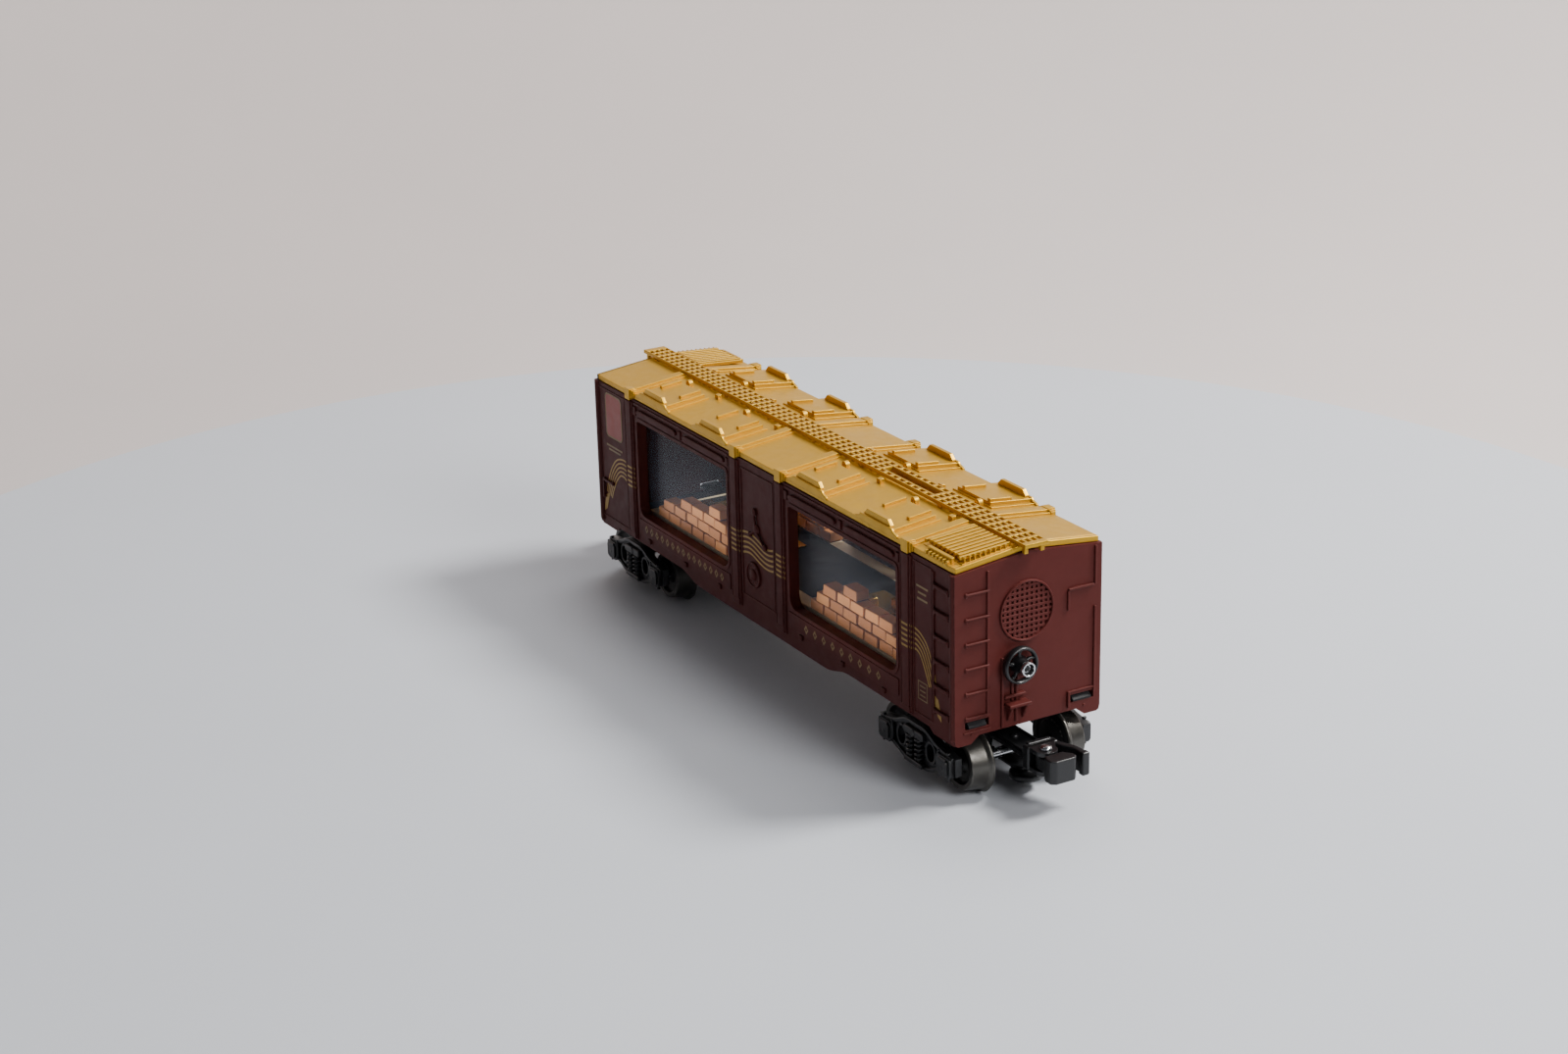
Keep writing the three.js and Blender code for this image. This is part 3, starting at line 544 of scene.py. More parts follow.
# ---------------------------------------------------------------- pieces
def piece(name, form, materials, body, replaces=()):
    """Makes a form into a mesh that rides on a body and stands for the CAD nodes that it replaces."""
    mesh = bpy.data.meshes.new(name)
    mesh.from_pydata([point * MM for point in form.points], [], form.faces)
    bm = bmesh.new()
    bm.from_mesh(mesh)
    bmesh.ops.recalc_face_normals(bm, faces=bm.faces)
    bm.to_mesh(mesh)
    bm.free()
    materials = materials if isinstance(materials, (list, tuple)) else [materials]
    for material in materials:
        mesh.materials.append(material)
    mesh.polygons.foreach_set("material_index", form.paints)
    mesh.polygons.foreach_set("use_smooth", [True] * len(mesh.polygons))
    mesh.set_sharp_from_angle(angle=radians(48))
    mesh.attributes.new("tint", "FLOAT", "FACE").data.foreach_set("value", form.tints)
    obj = bpy.data.objects.new(name, mesh)
    bpy.context.scene.collection.objects.link(obj)
    even = obj.modifiers.new("even_shading", "WEIGHTED_NORMAL")
    even.keep_sharp = True
    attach(obj, body)
    if replaces:
        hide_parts(*replaces)


def repaint(node, material):
    """Gives a CAD node that stays as it is a material."""
    for slot in frame["nodes"][node].material_slots:
        slot.material = material


# ---------------------------------------------------------------- body shell
def side_outline():
    """The outline of a side: a straight top and a sill that drops in the middle."""
    upper, lower = TAB_BOTTOM + 1.6, TAB_BOTTOM - 1.2
    half = [(HALF_LENGTH - 1, WALL_TOP), (HALF_LENGTH - 1, TAB_BOTTOM), (HALF_LENGTH - 12.3, TAB_BOTTOM),
            (HALF_LENGTH - 14.8, upper)]
    for t in (step / 12 for step in range(13)):
        half.append((57 - 15 * t, upper + (lower - upper) * (1 - cos(pi * t)) / 2))
    return mirrored(0, half)


def window_outline(x, grow):
    return rounded_rectangle(x - WINDOW_HALF - grow, x + WINDOW_HALF + grow, WINDOW_BOTTOM - grow,
                             WINDOW_TOP + grow, 4 + grow, 1 + grow, 8)


def pilaster(x):
    form = Form()
    for half, front, back, low, high, edge in (
            (3.25, -26.45, -25.5, 21.7, 73.3, 0.2), (2.0, -26.9, -26.2, 22.6, 73.3, 0.3),
            (2.6, -SIDE_LIMIT, -26.1, 22.0, 24.2, 0.25)):
        form.box(x - half, x + half, front, back, low, high, edge)
    for middle in (x - 2.75, x + 2.75):
        form.box(middle - 0.22, middle + 0.22, -26.66, -26.2, 22.6, 73.3, 0.12)
    return form


def window_bay(x):
    form = Form()
    form.join(plate("y", window_outline(x, 1.3), -26.3, -JAMB_BACK, [window_outline(x, 0)]).soft(0.3))
    board = rounded_rectangle(x - 33.6, x + 33.6, 24.9, 30.5, 0.5, 0.5, 3)
    form.join(plate("y", board, -26.35, -25.6).soft(0.2))
    for middle in (x - 17.2, x + 17.2):
        bar = mirrored(middle, [(12.8, 69.3), (14.6, 69.9), (14.6, 70.9), (12.8, 71.5)])
        form.join(plate("y", bar, -26.85, ROOT).soft(0.25))
    for place in (x - 33.6, x, x + 33.6):
        form.box(place - 0.9, place + 0.9, -26.6, ROOT, 68.9, 72.0)
    form.box(x - 34.5, x + 34.5, -26.4, ROOT, 72.6, 73.4, 0.15)
    return form


def sill_lugs():
    form = Form()
    for x in (-79, -52, -27.4, 27.6, 53.4, 78.1):
        form.box(x - 1.0, x + 1.0, -26.75, ROOT, 22.9, 24.6)
    return form


def side_ladder(x):
    form = Form()
    for rung in range(6):
        z = TAB_BOTTOM + 8 + rung * 8
        form.box(x - 4, x + 4, -SIDE_LIMIT, ROOT, z, z + 1.1, 0.25)
        for foot in (x - 3.7, x + 3.7):
            form.box(foot - 0.5, foot + 0.5, -26.8, ROOT, z - 0.7, z + 1.3)
    form.box(x - 4.9, x - 4.1, -26.5, ROOT, TAB_BOTTOM + 7, WALL_TOP - 2)
    form.box(x + 4.4, x + 5.0, -26.3, ROOT, TAB_BOTTOM + 7, WALL_TOP - 2, 0.15)
    return form


def grab_irons(x):
    """An iron across and one down, held by three bolts."""
    form = Form()
    low = TAB_BOTTOM + 11
    form.box(x - 4, x + 4, -26.95, -26.2, low + 6.5, low + 7.4, 0.25)
    form.box(x - 4, x - 3.1, -26.95, -26.2, low, low + 7, 0.25)
    for u, v in ((x + 3.5, low + 6.95), (x - 3.5, low + 6.95), (x - 3.55, low + 0.6)):
        form.join(rod(0.75, -26.6, -25.7, "y", (u, 0, v), 12))
    return form


def vault_door():
    """The middle panel: a framed door with a three-armed handle and a dial below it."""
    form = Form()
    for x in (-10.6, 10.6):
        form.box(x - 0.35, x + 0.35, -26.3, -25.7, 26.8, 71.6, 0.12)
    for z in (26.8, 71.3):
        form.box(-10.9, 10.9, -26.3, -25.7, z - 0.3, z + 0.3, 0.12)
    hub_x, hub_z = -0.4, 52.4
    for x, z, knob in ((-1.6, 58.2, 1.35), (5.0, 47.6, 1.15), (-4.7, 49.6, 0.95)):
        middle = ((hub_x + x) / 2, -26.55, (hub_z + z) / 2)
        form.join(sweep([(hub_x, -26.5, hub_z), middle, (x, -26.5, z)], 0.42))
        end = [(0, -SIDE_LIMIT), (knob * 0.6, -26.95), (knob, -26.7), (knob, -25.9), (0, -25.9)]
        form.join(turned(end, "y", (x, 0, z), 20))
    hub = [(0, -SIDE_LIMIT), (0.9, -SIDE_LIMIT), (1.5, -26.7), (1.9, -26.4), (1.9, -25.8), (0, -25.8)]
    form.join(turned(hub, "y", (hub_x, 0, hub_z), 24))
    dial_x, dial_z = -3.2, 35.6
    dial = [(0, -26.95), (1.7, -26.95), (2.0, -26.7), (2.1, -26.35), (3.7, -26.35), (3.9, -26.75),
            (4.4, -26.75), (4.6, -26.5), (4.6, -25.8), (0, -25.8)]
    form.join(turned(dial, "y", (dial_x, 0, dial_z), 36))
    for x, z in circle(dial_x, dial_z, 3.0, 12):
        form.join(rod(0.22, -26.5, -26.2, "y", (x, 0, z), 8))
    return form


def panel_trim():
    """Fine raised lines that frame the end panels of a side."""
    form = Form()
    for x0, x1 in ((-116.2, -95.6), (95.6, 105.4)):
        for z in (23.4, 72.4):
            form.box(x0, x1, -26.25, -25.7, z - 0.25, z + 0.25, 0.1)
        for x in (x0, x1):
            form.box(x - 0.25, x + 0.25, -26.25, -25.7, 23.2, 72.6, 0.1)
    return form


def near_side():
    holes = [window_outline(x, 0.7) for x in WINDOWS]
    form = plate("y", side_outline(), -PANEL_FACE, -PANEL_BACK, holes).soft(0.25)
    for x in WINDOWS:
        form.join(window_bay(x))
    for x in PILASTERS:
        form.join(pilaster(x))
    return form.join(sill_lugs(), side_ladder(HALF_LENGTH - 7.2), grab_irons(-HALF_LENGTH + 8), vault_door(),
                     panel_trim())


def end_outline():
    edge = PANEL_FACE + 0.4
    tab, chamfer, low = 17.6, 3.1, TAB_BOTTOM
    right = [(tab, low + 2.4), (tab + chamfer, low), (edge - 1.2, low), (edge - 0.35, low + 0.5),
             (edge, low + 2), (edge, WALL_TOP)]
    return [(-y, z) for y, z in reversed(right)] + right + [(0, WALL_TOP + 2.8)]


def end_vent():
    """A round vent: a ring with a square mesh behind it."""
    y, z, radius, face = VENT_Y, VENT_Z, 9.7, HALF_LENGTH
    ring = [(radius - 0.75, face - 0.3), (radius, face - 0.3), (radius, face + 0.45),
            (radius - 0.2, face + 0.75), (radius - 0.55, face + 0.75), (radius - 0.75, face + 0.5)]
    form = turned(ring, "x", (0, y, z), 64, closed=True)
    form.join(rod(radius - 0.1, face - 2.0, face - 0.4, "x", (0, y, z), 64))
    reach = radius - 0.5
    for step in range(-5, 7):
        across = (step - 0.5) * 1.72
        if abs(across) >= reach - 0.6:
            continue
        half = sqrt(reach ** 2 - (abs(across) + 0.35) ** 2)
        form.box(face - 0.8, face + 0.24, y + across - 0.44, y + across + 0.44, z - half, z + half, 0.12)
        form.box(face - 0.7, face + 0.3, y - half, y + half, z + across - 0.4, z + across + 0.4, 0.12)
    return form


def end_ladder():
    face = HALF_LENGTH
    form = block(face - 0.5, face + 0.6, -15.3, -14.5, TAB_BOTTOM + 8.4, WALL_TOP - 0.4).soft(0.2)
    for rung in range(6):
        z = TAB_BOTTOM + 8.65 + rung * 7.9
        form.join(sweep([(face - 0.2, -22.5, z - 0.4), (face + 0.35, -22.5, z), (face + 0.5, -22.0, z),
                         (face + 0.5, -14.6, z)], 0.4, 12))
        form.box(face - 0.3, face + 0.5, -22.9, -22.1, z - 1.0, z + 0.5)
    return form


def end_fittings():
    """The grab iron and its posts, and the lips over the two slots."""
    face, low = HALF_LENGTH, TAB_BOTTOM
    form = Form()
    for y0, y1, z0, z1, reach in (
            (23.5, 24.3, low + 7, low + 35, 0.6), (23.5, 24.3, low + 42, WALL_TOP - 0.3, 0.6),
            (14, 23.3, low + 41.7, low + 42.5, 0.8), (13.7, 14.5, low + 35.5, low + 41.8, 0.6),
            (14, 14.9, low + 3.6, low + 9, 0.8), (14, 24.2, low + 8.3, low + 8.9, 0.5),
            (-23.4, -13.9, low + 3.6, low + 4.2, 0.5)):
        form.box(face - 0.5, face + reach, y0, y1, z0, z1)
    return form


def end_wall(stem):
    """One end, with a hole for the hand brake's stem where it has one."""
    holes = [rectangle(-22.8, -14.2, 24.4, 26.9), rectangle(15.2, 24, 24.4, 26.9),
             circle(VENT_Y, VENT_Z, 9.3, 64)]
    if stem:
        holes.append(circle(BRAKE_Y, BRAKE_Z, 1.4, 24))
    form = plate("x", end_outline(), HALF_LENGTH - 2, HALF_LENGTH, holes).soft(0.3)
    form.join(end_ladder(), end_vent(), end_fittings())
    post = [(0, 20.6), (1.0, 20.8), (1.6, 21.6), (1.6, WALL_TOP - 0.2), (1.3, WALL_TOP), (0, WALL_TOP)]
    bolt = [(0, HALF_LENGTH + 0.45), (0.4, HALF_LENGTH + 0.3), (0.55, HALF_LENGTH - 0.1),
            (0, HALF_LENGTH - 0.1)]
    for side in (-1, 1):
        form.join(turned(post, "z", (HALF_LENGTH - 1.6, side * 25.4, 0), 32))
        form.join(turned(bolt, "x", (0, side * 20.4, 22.6), 14))
    return form


def brake_fittings():
    """The brake rod in its channel, with the brakeman's step on two brackets."""
    face, low, y = HALF_LENGTH, TAB_BOTTOM, BRAKE_Y - 0.4
    form = Form()
    for reach, y0, y1, z0, z1, edge in (
            (0.75, -5.1, -4.3, 3, 25.5, 0.2), (0.75, -1.6, -0.8, 11, 17, 0.2),
            (3.5, -3.9, 4, 9.6, 10.7, 0.35), (1.4, -4.2, 3.3, 12.2, 13.2, 0.3)):
        form.box(face - 0.5, face + reach, y + y0, y + y1, low + z0, low + z1, edge)
    form.join(rod(0.5, low + 4, low + 24, "z", (face + 0.3, y + 0.4, 0), 16))
    bracket = [(face - 0.3, low + 4.6), (face + 0.5, low + 4.6), (face + 2.9, low + 9.7),
               (face - 0.3, low + 9.7)]
    for side in (y - 2.5, y + 2.9):
        form.join(plate("y", bracket, side - 0.4, side + 0.4).soft(0.15))
    return form


shell = near_side().both().join(end_wall(True), end_wall(False).half_turn(), brake_fittings())
CORNERS = [f"{side}_{end}" for side in ("near", "far") for end in ("left", "right")]
TABS = [f"{kind}_tab_{corner}" for kind in ("side", "end") for corner in CORNERS]
piece("body_shell_moulding", shell, MAROON, CAR, ["body_shell", *TABS])

for corner in CORNERS:
    repaint(f"window_pane_{corner}", GLASS)


# ---------------------------------------------------------------- roof
def roof_height(y):
    return RIDGE - (RIDGE - EAVE_TOP) * abs(y) / ROOF_HALF


def on_slope(form):
    """Lifts a form whose heights count from the near slope of the roof."""
    return form.mapped(lambda p: (p.x, p.y, p.z + roof_height(p.y)))


def slope_block(x0, x1, y0, y1, height, width=0.2, foot=-0.5):
    return on_slope(block(x0, x1, y0, y1, foot, height)).soft(width)


def roof_rib(x):
    form = slope_block(x - 3.1, x + 3.1, -ROOF_HALF, -4.6, 0.5, 0.1)
    form.join(slope_block(x - 1.7, x + 1.7, -ROOF_HALF, -4.6, 1.15, 0.16))
    for half, reach, low, high in ((3.4, 26.0, EAVE_BOTTOM + 0.1, 77.1), (2.7, 26.4, 74.1, 77.4),
                                   (1.8, 26.85, 73.6, 77.7)):
        form.box(x - half, x + half, -reach, -ROOF_HALF + 1.4, low, high, 0.12)
    return form


def roof_hatch(x):
    """A slab with a skirt, a fascia at the eave with a tall bar behind it, two strips, an eye and a lug."""
    form = slope_block(x - 10.9, x + 10.9, -25.5, -9.2, 0.5, 0.12)
    form.join(slope_block(x - 9.2, x + 9.2, -25.5, -9.9, 1.6, 0.18))
    fascia = mirrored(x, [(12, 75.7), (12, 76.7), (9.6, 77.4), (8.9, 78.2)])
    form.join(plate("y", fascia, -26.0, -25.0).soft(0.25))
    bar = mirrored(x, [(7.6, 77.2), (7.6, 78.4), (5.9, 80.1)])
    form.join(plate("y", bar, -25.3, -23.9).soft(0.16))
    for middle in (x - 7.9, x + 6.2):
        form.join(slope_block(middle - 0.75, middle + 0.75, -18.2, -10.1, 2.55, 0.18))
    eye = arc(0, 0.75, 1.4, 0, 180, 12) + [(-1.4, -0.9), (-0.7, -0.9)] + arc(0, 0.6, 0.68, 180, 0, 8) + [
        (0.7, -0.9), (1.4, -0.9)]
    foot = roof_height(7.6)
    form.join(plate("y", [(x - 6.2 + u, foot + v) for u, v in eye], -8.4, -6.9).soft(0.15))
    form.join(slope_block(x + 11.9, x + 14.1, -7.4, -5.8, 1.5, 0.18))
    return form


def brake_platform():
    """A slatted platform beside the roofwalk at one end of the roof."""
    form = slope_block(95.6, 116.6, -22.6, -4.9, 0.2, 0.08)
    rise = 0.045

    def level(x0, x1, y0, y1, high, edge, low=0.1):
        form.join(block(x0, x1, y0, y1, low, high).mapped(
            lambda p: (p.x, p.y, p.z + roof_height(p.y) + rise * (abs(p.y) - 5))).soft(edge))

    for slat in range(8):
        x = 98.4 + slat * 2.15
        level(x - 0.58, x + 0.58, -22.0, -5.4, 1.5, 0.12)
    for rail in range(5):
        y = -7.2 - rail * 3.3
        level(97.4, 114.4, y - 1.0, y + 1.0, 0.8, 0.1)
    for x in (96.6, 115.0):
        level(x - 0.4, x + 0.4, -22.6, -5.0, 1.3, 0.12, 0.2)
    for bolt in range(9):
        y = -7 - bolt * 1.8
        form.join(rod(0.3, RIDGE - 2.6, roof_height(y) + 1.3 + rise * (abs(y) - 5), "z", (116.0, y, 0), 10))
    form.join(slope_block(100.6, 113.6, -24.4, -23.2, 1.7, 0.15))
    for tooth in range(7):
        x = 101.4 + tooth * 1.9
        form.join(slope_block(x - 0.45, x + 0.45, -ROOF_HALF, -24.1, 1.0, 0.1))
    return form


def skin_part(x0, x1, low, high):
    """A length of the roof skin between two distances from the ridge, thinner under the roofwalk."""
    def inside(y):
        return EAVE_BOTTOM + (RIDGE - EAVE_TOP) * (1 - abs(y) / ROOF_HALF)

    def outside(y, thickness=None):
        return y, inside(y) + (thickness or (SKIN if abs(y) > WALK_EDGE else SKIN_UNDER_WALK))

    ys = sorted({low, high, *([0.0] if low < 0 < high else [])})
    over = [outside(high)]
    if high > WALK_EDGE:
        over += [outside(WALK_EDGE, SKIN), outside(WALK_EDGE)]
    if low < 0 < high:
        over.append(outside(0.0))
    if low < -WALK_EDGE:
        over += [outside(-WALK_EDGE), outside(-WALK_EDGE, SKIN)]
    over.append(outside(low))
    return plate("x", [(y, inside(y)) for y in ys] + over, x0, x1)


def roof_skin():
    """The roof skin with the coin slot left open along the ridge."""
    form = skin_part(-ROOF_END, SLOT_START, -ROOF_HALF, ROOF_HALF).soft(0.2)
    form.join(skin_part(SLOT_END, ROOF_END - 1.5, -ROOF_HALF, ROOF_HALF).soft(0.2))
    form.join(skin_part(SLOT_START - 0.4, SLOT_END + 0.4, -ROOF_HALF, -SLOT_HALF))
    form.join(skin_part(SLOT_START - 0.4, SLOT_END + 0.4, SLOT_HALF, ROOF_HALF))
    gable = [(-ROOF_HALF, EAVE_BOTTOM), (0, EAVE_BOTTOM + RIDGE - EAVE_TOP), (ROOF_HALF, EAVE_BOTTOM),
             (ROOF_HALF, EAVE_TOP), (0, RIDGE), (-ROOF_HALF, EAVE_TOP)]
    for x0, x1 in ((-ROOF_END, 1.6 - ROOF_END), (ROOF_END - 1.6, ROOF_END)):
        form.join(plate("x", gable, x0, x1).soft(0.2))
    return form


roof = Form().join(*[roof_rib(x) for x in PILASTERS], *[roof_hatch(x) for x in HATCHES], brake_platform())
piece("roof_moulding", roof.both().join(roof_skin()), GOLD, CAR, ["roof"])


# ---------------------------------------------------------------- roofwalk
def roofwalk():
    """A grid of square holes, spaced so that seven pitches fit along the coin slot."""
    pitch, hole, rim = (SLOT_END - SLOT_START - 2.6) / 7, 2.6, 0.6
    first = SLOT_START - pitch * 41
    starts = [first + pitch * step for step in range(64)]
    xs = [-WALK_END]
    for start in starts:
        if start > -WALK_END + rim and start + hole < WALK_END - rim:
            xs += [start, start + hole]
    xs.append(WALK_END)
    ys = [-WALK_HALF]
    for middle in (-3.05, -1.02, 1.02, 3.05):
        ys += [middle - 0.64, middle + 0.64]
    ys.append(WALK_HALF)

    def is_open(i, j):
        in_slot = SLOT_START - 0.01 < (xs[i] + xs[i + 1]) / 2 < SLOT_END and 3 <= j <= 5
        return in_slot or (i % 2 == 1 and j % 2 == 1)

    form = lattice(xs, ys, is_open, WALK_BOTTOM, WALK_TOP).soft(0.13, 1)
    for x in (-120.2, 120.2):
        for y in (-2.9, 2.9):
            form.box(x - 0.7, x + 0.7, y - 0.7, y + 0.7, 77.2, WALK_BOTTOM + 0.2)
    for x in (-91.5, -60, -30, 0, 30, 76, 91.5):
        for y in (-3.9, 3.9):
            form.box(x - 0.8, x + 0.8, y - 0.3, y + 0.3, 78.5, WALK_BOTTOM + 0.2, 0.1)
    return form


piece("roofwalk_grid", roofwalk(), GOLD, CAR, ["roofwalk"])


# ---------------------------------------------------------------- printed stripes and plain marks
def on_face(face):
    return -face - PAINT, -face + 0.1


def stripes(line, face, width=STRIPE_WIDTH, narrowing=0.0):
    """Parallel printed stripes that follow one line, and draw together towards its end."""
    form = Form()
    line = [Vector(point) for point in line]
    for number in range(STRIPE_COUNT):
        place = number - (STRIPE_COUNT - 1) / 2
        reach = [place * (STRIPE_PITCH - narrowing * n / (len(line) - 1)) for n in range(len(line))]
        form.join(ribbon("y", offset_line(line, reach), width, *on_face(face)))
    return form


def near_stripes():
    form = Form()
    for x, z in zip(PILASTERS, (44.9, 44.9, 44.9, 47.2)):
        for x0, x1, face in ((-1.7, 1.7, 26.9), (-2.5, -2.05, 26.45), (2.05, 2.5, 26.45),
                             (-3.2, -3.0, 26.45), (3.0, 3.2, 26.45)):
            form.join(stripes([(x + x0 + (x1 - x0) * t / 4, z) for t in range(5)], face))
    wave = [(-11.6 + 23.2 * t / 24, 44.9 + 1.1 * sin(2 * pi * t / 24)) for t in range(25)]
    form.join(stripes(wave, PANEL_FACE))
    right = [(94.9, 47.2), (97.6, 47.0), (100.6, 45.2), (103.0, 41.6), (104.9, 37.4), (105.8, 34.6)]
    left = [(-94.9, 44.9), (-98.2, 45.6), (-102.4, 44.6), (-106.4, 40.6), (-109.2, 35.6), (-110.6, 32.2)]
    for points in (right, left):
        form.join(stripes(smooth_path(points), PANEL_FACE, STRIPE_WIDTH - 0.1, 0.75))
    tail = [(-1.9, 33.0), (1.2, 31.6), (2.6, 27.6), (2.9, 24.9), (0.9, 26.2), (-0.2, 28.8)]
    for side, x in ((1, 107.6), (-1, -112.2)):
        form.join(plate("y", [(x + side * u, v) for u, v in tail], *on_face(PANEL_FACE)))
    return form


def lozenge(u, v, half_width, half_height):
    return [(u - half_width, v), (u, v - half_height), (u + half_width, v), (u, v + half_height)]


def near_marks():
    """Rows of plain lozenges, dashes and a box, where the object has lettering."""
    form = Form()
    for x, half, count in ((WINDOWS[0], 29, 15), (WINDOWS[1], 23, 9)):
        for step in range(count):
            u = x + half * (2 * step / (count - 1) - 1) * 0.96
            form.join(plate("y", lozenge(u, 27.7, 1.3, 1.6), -26.35 - PAINT, -26.2,
                            [lozenge(u, 27.7, 0.55, 0.7)]))
    face = on_face(PANEL_FACE)
    for x0, x1, z, half in ((97.0, 103.4, 64.9, 0.35), (97.8, 102.4, 62.9, 0.35), (97.4, 103.0, 60.9, 0.35),
                            (98.7, 101.7, 29.8, 0.25), (98.7, 101.7, 31.3, 0.25), (98.7, 101.7, 32.8, 0.25),
                            (-111.0, -98.6, 51.6, 0.35), (-109.4, -100.2, 50.2, 0.35)):
        form.join(plate("y", rectangle(x0, x1, z - half, z + half), *face))
    box_hole = rectangle(98.0, 102.4, 28.6, 34.0)
    return form.join(plate("y", rectangle(97.6, 102.8, 28.2, 34.4), *face, [box_hole]))


def plaque():
    outline = rounded_rectangle(-110.4, -98.6, 55.4, 71.0, 1.6, 1.6, 6)
    return plate("y", outline, *on_face(26.0))


def plaque_rim():
    outer = rounded_rectangle(-110.9, -98.1, 54.9, 71.5, 2.0, 2.0, 6)
    inner = rounded_rectangle(-110.3, -98.7, 55.5, 70.9, 1.5, 1.5, 6)
    return plate("y", outer, -26.0 - PAINT - 0.02, -25.9, [inner])


piece("gold_stripes", near_stripes().both(), STRIPE, CAR)
piece("plain_marks", near_marks().join(plaque_rim()).both(), DULL_PRINT, CAR)
piece("plain_plaques", plaque().both(), PLAQUE, CAR)


# ---------------------------------------------------------------- load
HEAPS = {"left": (1, 2, 4, 3, 4, 4, 3), "right": (1, 3, 4, 4, 3, 3, 2)}
HEAP_OUTER = 20.9
HEAP_INNER = 15.5


def bar(x0, x1, y0, y1, z0, z1, tint):
    """A cast bar: a block with a narrower top and rounded edges."""
    taper = 0.2
    corners = [(x0, y0, z0), (x1, y0, z0), (x1, y1, z0), (x0, y1, z0), (x0 + taper, y0 + taper, z1),
               (x1 - taper, y0 + taper, z1), (x1 - taper, y1 - taper, z1), (x0 + taper, y1 - taper, z1)]
    faces = [(3, 2, 1, 0), (4, 5, 6, 7), (0, 1, 5, 4), (1, 2, 6, 5), (2, 3, 7, 6), (3, 0, 4, 7)]
    return Form().add(corners, faces, tint).soft(0.32, 3)


def heap(x, courses, chance):
    """Bars stacked in courses, each course shifted by half a bar."""
    form = Form()
    half = len(courses) * BRICK_LENGTH / 2
    for course in range(max(courses)):
        z = TRAY_TOP + 0.1 + course * BRICK_HEIGHT
        shift = -BRICK_LENGTH / 2 if course % 2 else 0.0
        for column in range(len(courses) + 1):
            start = x - half + column * BRICK_LENGTH + shift
            left, right = max(start, x - half), min(start + BRICK_LENGTH, x + half)
            if right - left < 2:
                continue
            middle = (left + right) / 2
            under = courses[min(len(courses) - 1, max(0, int((middle - x + half) / BRICK_LENGTH)))]
            if course >= under:
                continue
            front = -HEAP_OUTER + chance.uniform(0.0, 0.5)
            tilt = radians(chance.uniform(-1.6, 1.6))
            laid = bar(left + 0.3, right - 0.3, front, -HEAP_INNER, z + 0.22, z + BRICK_HEIGHT - 0.22,
                       chance.uniform(0.0, 1.0))
            form.join(laid.spun("y", middle, z + BRICK_HEIGHT / 2, tilt))
            form.join(block(left + 0.6, right - 0.6, -HEAP_OUTER + 0.9, -HEAP_INNER - 0.5, z - 0.1,
                            z + BRICK_HEIGHT - 0.4).painted(1))
    return form


chance = random.Random(7)
for place, middle in zip(("left", "right"), WINDOWS):
    for side in ("near", "far"):
        stack = heap(middle, HEAPS[place], chance)
        if side == "far":
            stack = stack.half_turn()
        piece(f"bar_stack_{side}_{place}", stack, [BRICK, JOINT], CAR,
              [f"bullion_heap_{side}_{place}"])


def loose_bars(x, chance):
    """Five bars that lie loose on the deck, by turns left and right of the middle."""
    form = block(x - 28, x + 28, -7, 7, TRAY_TOP + 0.1, TRAY_TOP + 0.85).soft(0.2)
    for index in range(5):
        u, v = x + 11 * (index - 2), 3.2 if index % 2 else -3.2
        angle = radians(chance.uniform(-9, 9))
        laid = bar(u - 4.2, u + 4.2, v - 1.8, v + 1.8, TRAY_TOP + 0.6, TRAY_TOP + 3.4,
                   chance.uniform(0.2, 1.0))
        form.join(laid.spun("z", u, v, angle))
    return form


for place, middle in zip(("left", "right"), WINDOWS):
    piece(f"loose_bars_{place}", loose_bars(middle, chance), BULLION, CAR,
          [f"gold_bars_{place}"])


def tray():
    """A deck with skirts, ribs under its edges and two screw bosses."""
    form = block(-90, 90, -20.6, 20.6, TRAY_TOP - 1.8, TRAY_TOP).soft(0.35, 3)
    for side in (-1, 1):
        form.box(-90, 90, *sorted((side * 20.6, side * 19.0)), 24.2, TRAY_TOP - 1)
        for x in range(-84, 85, 28):
            form.box(x - 0.6, x + 0.6, *sorted((side * 19.2, side * 15.0)), 26.5, TRAY_TOP - 1.2, 0.15)
    boss = [(1.3, 24.2), (3.4, 24.2), (3.4, TRAY_TOP - 1), (1.3, TRAY_TOP - 1)]
    for x in (-30, 30):
        form.join(turned(boss, "z", (x, 0, 0), 32, closed=True).soft(0.15))
    return form


# A black sheet over the middle of the deck: painted shade, where the interior lies in shade behind the bars.
def painted_shade_deck():
    return block(-88, 88, -15.3, 15.3, TRAY_TOP - 0.05, TRAY_TOP + 0.08)


# The black sheet on the deck is painted shade.
piece("painted_shade_deck_sheet", painted_shade_deck(), BLACK, CAR)
piece("tray_moulding", tray(), CREAM, CAR, ["display_tray"])


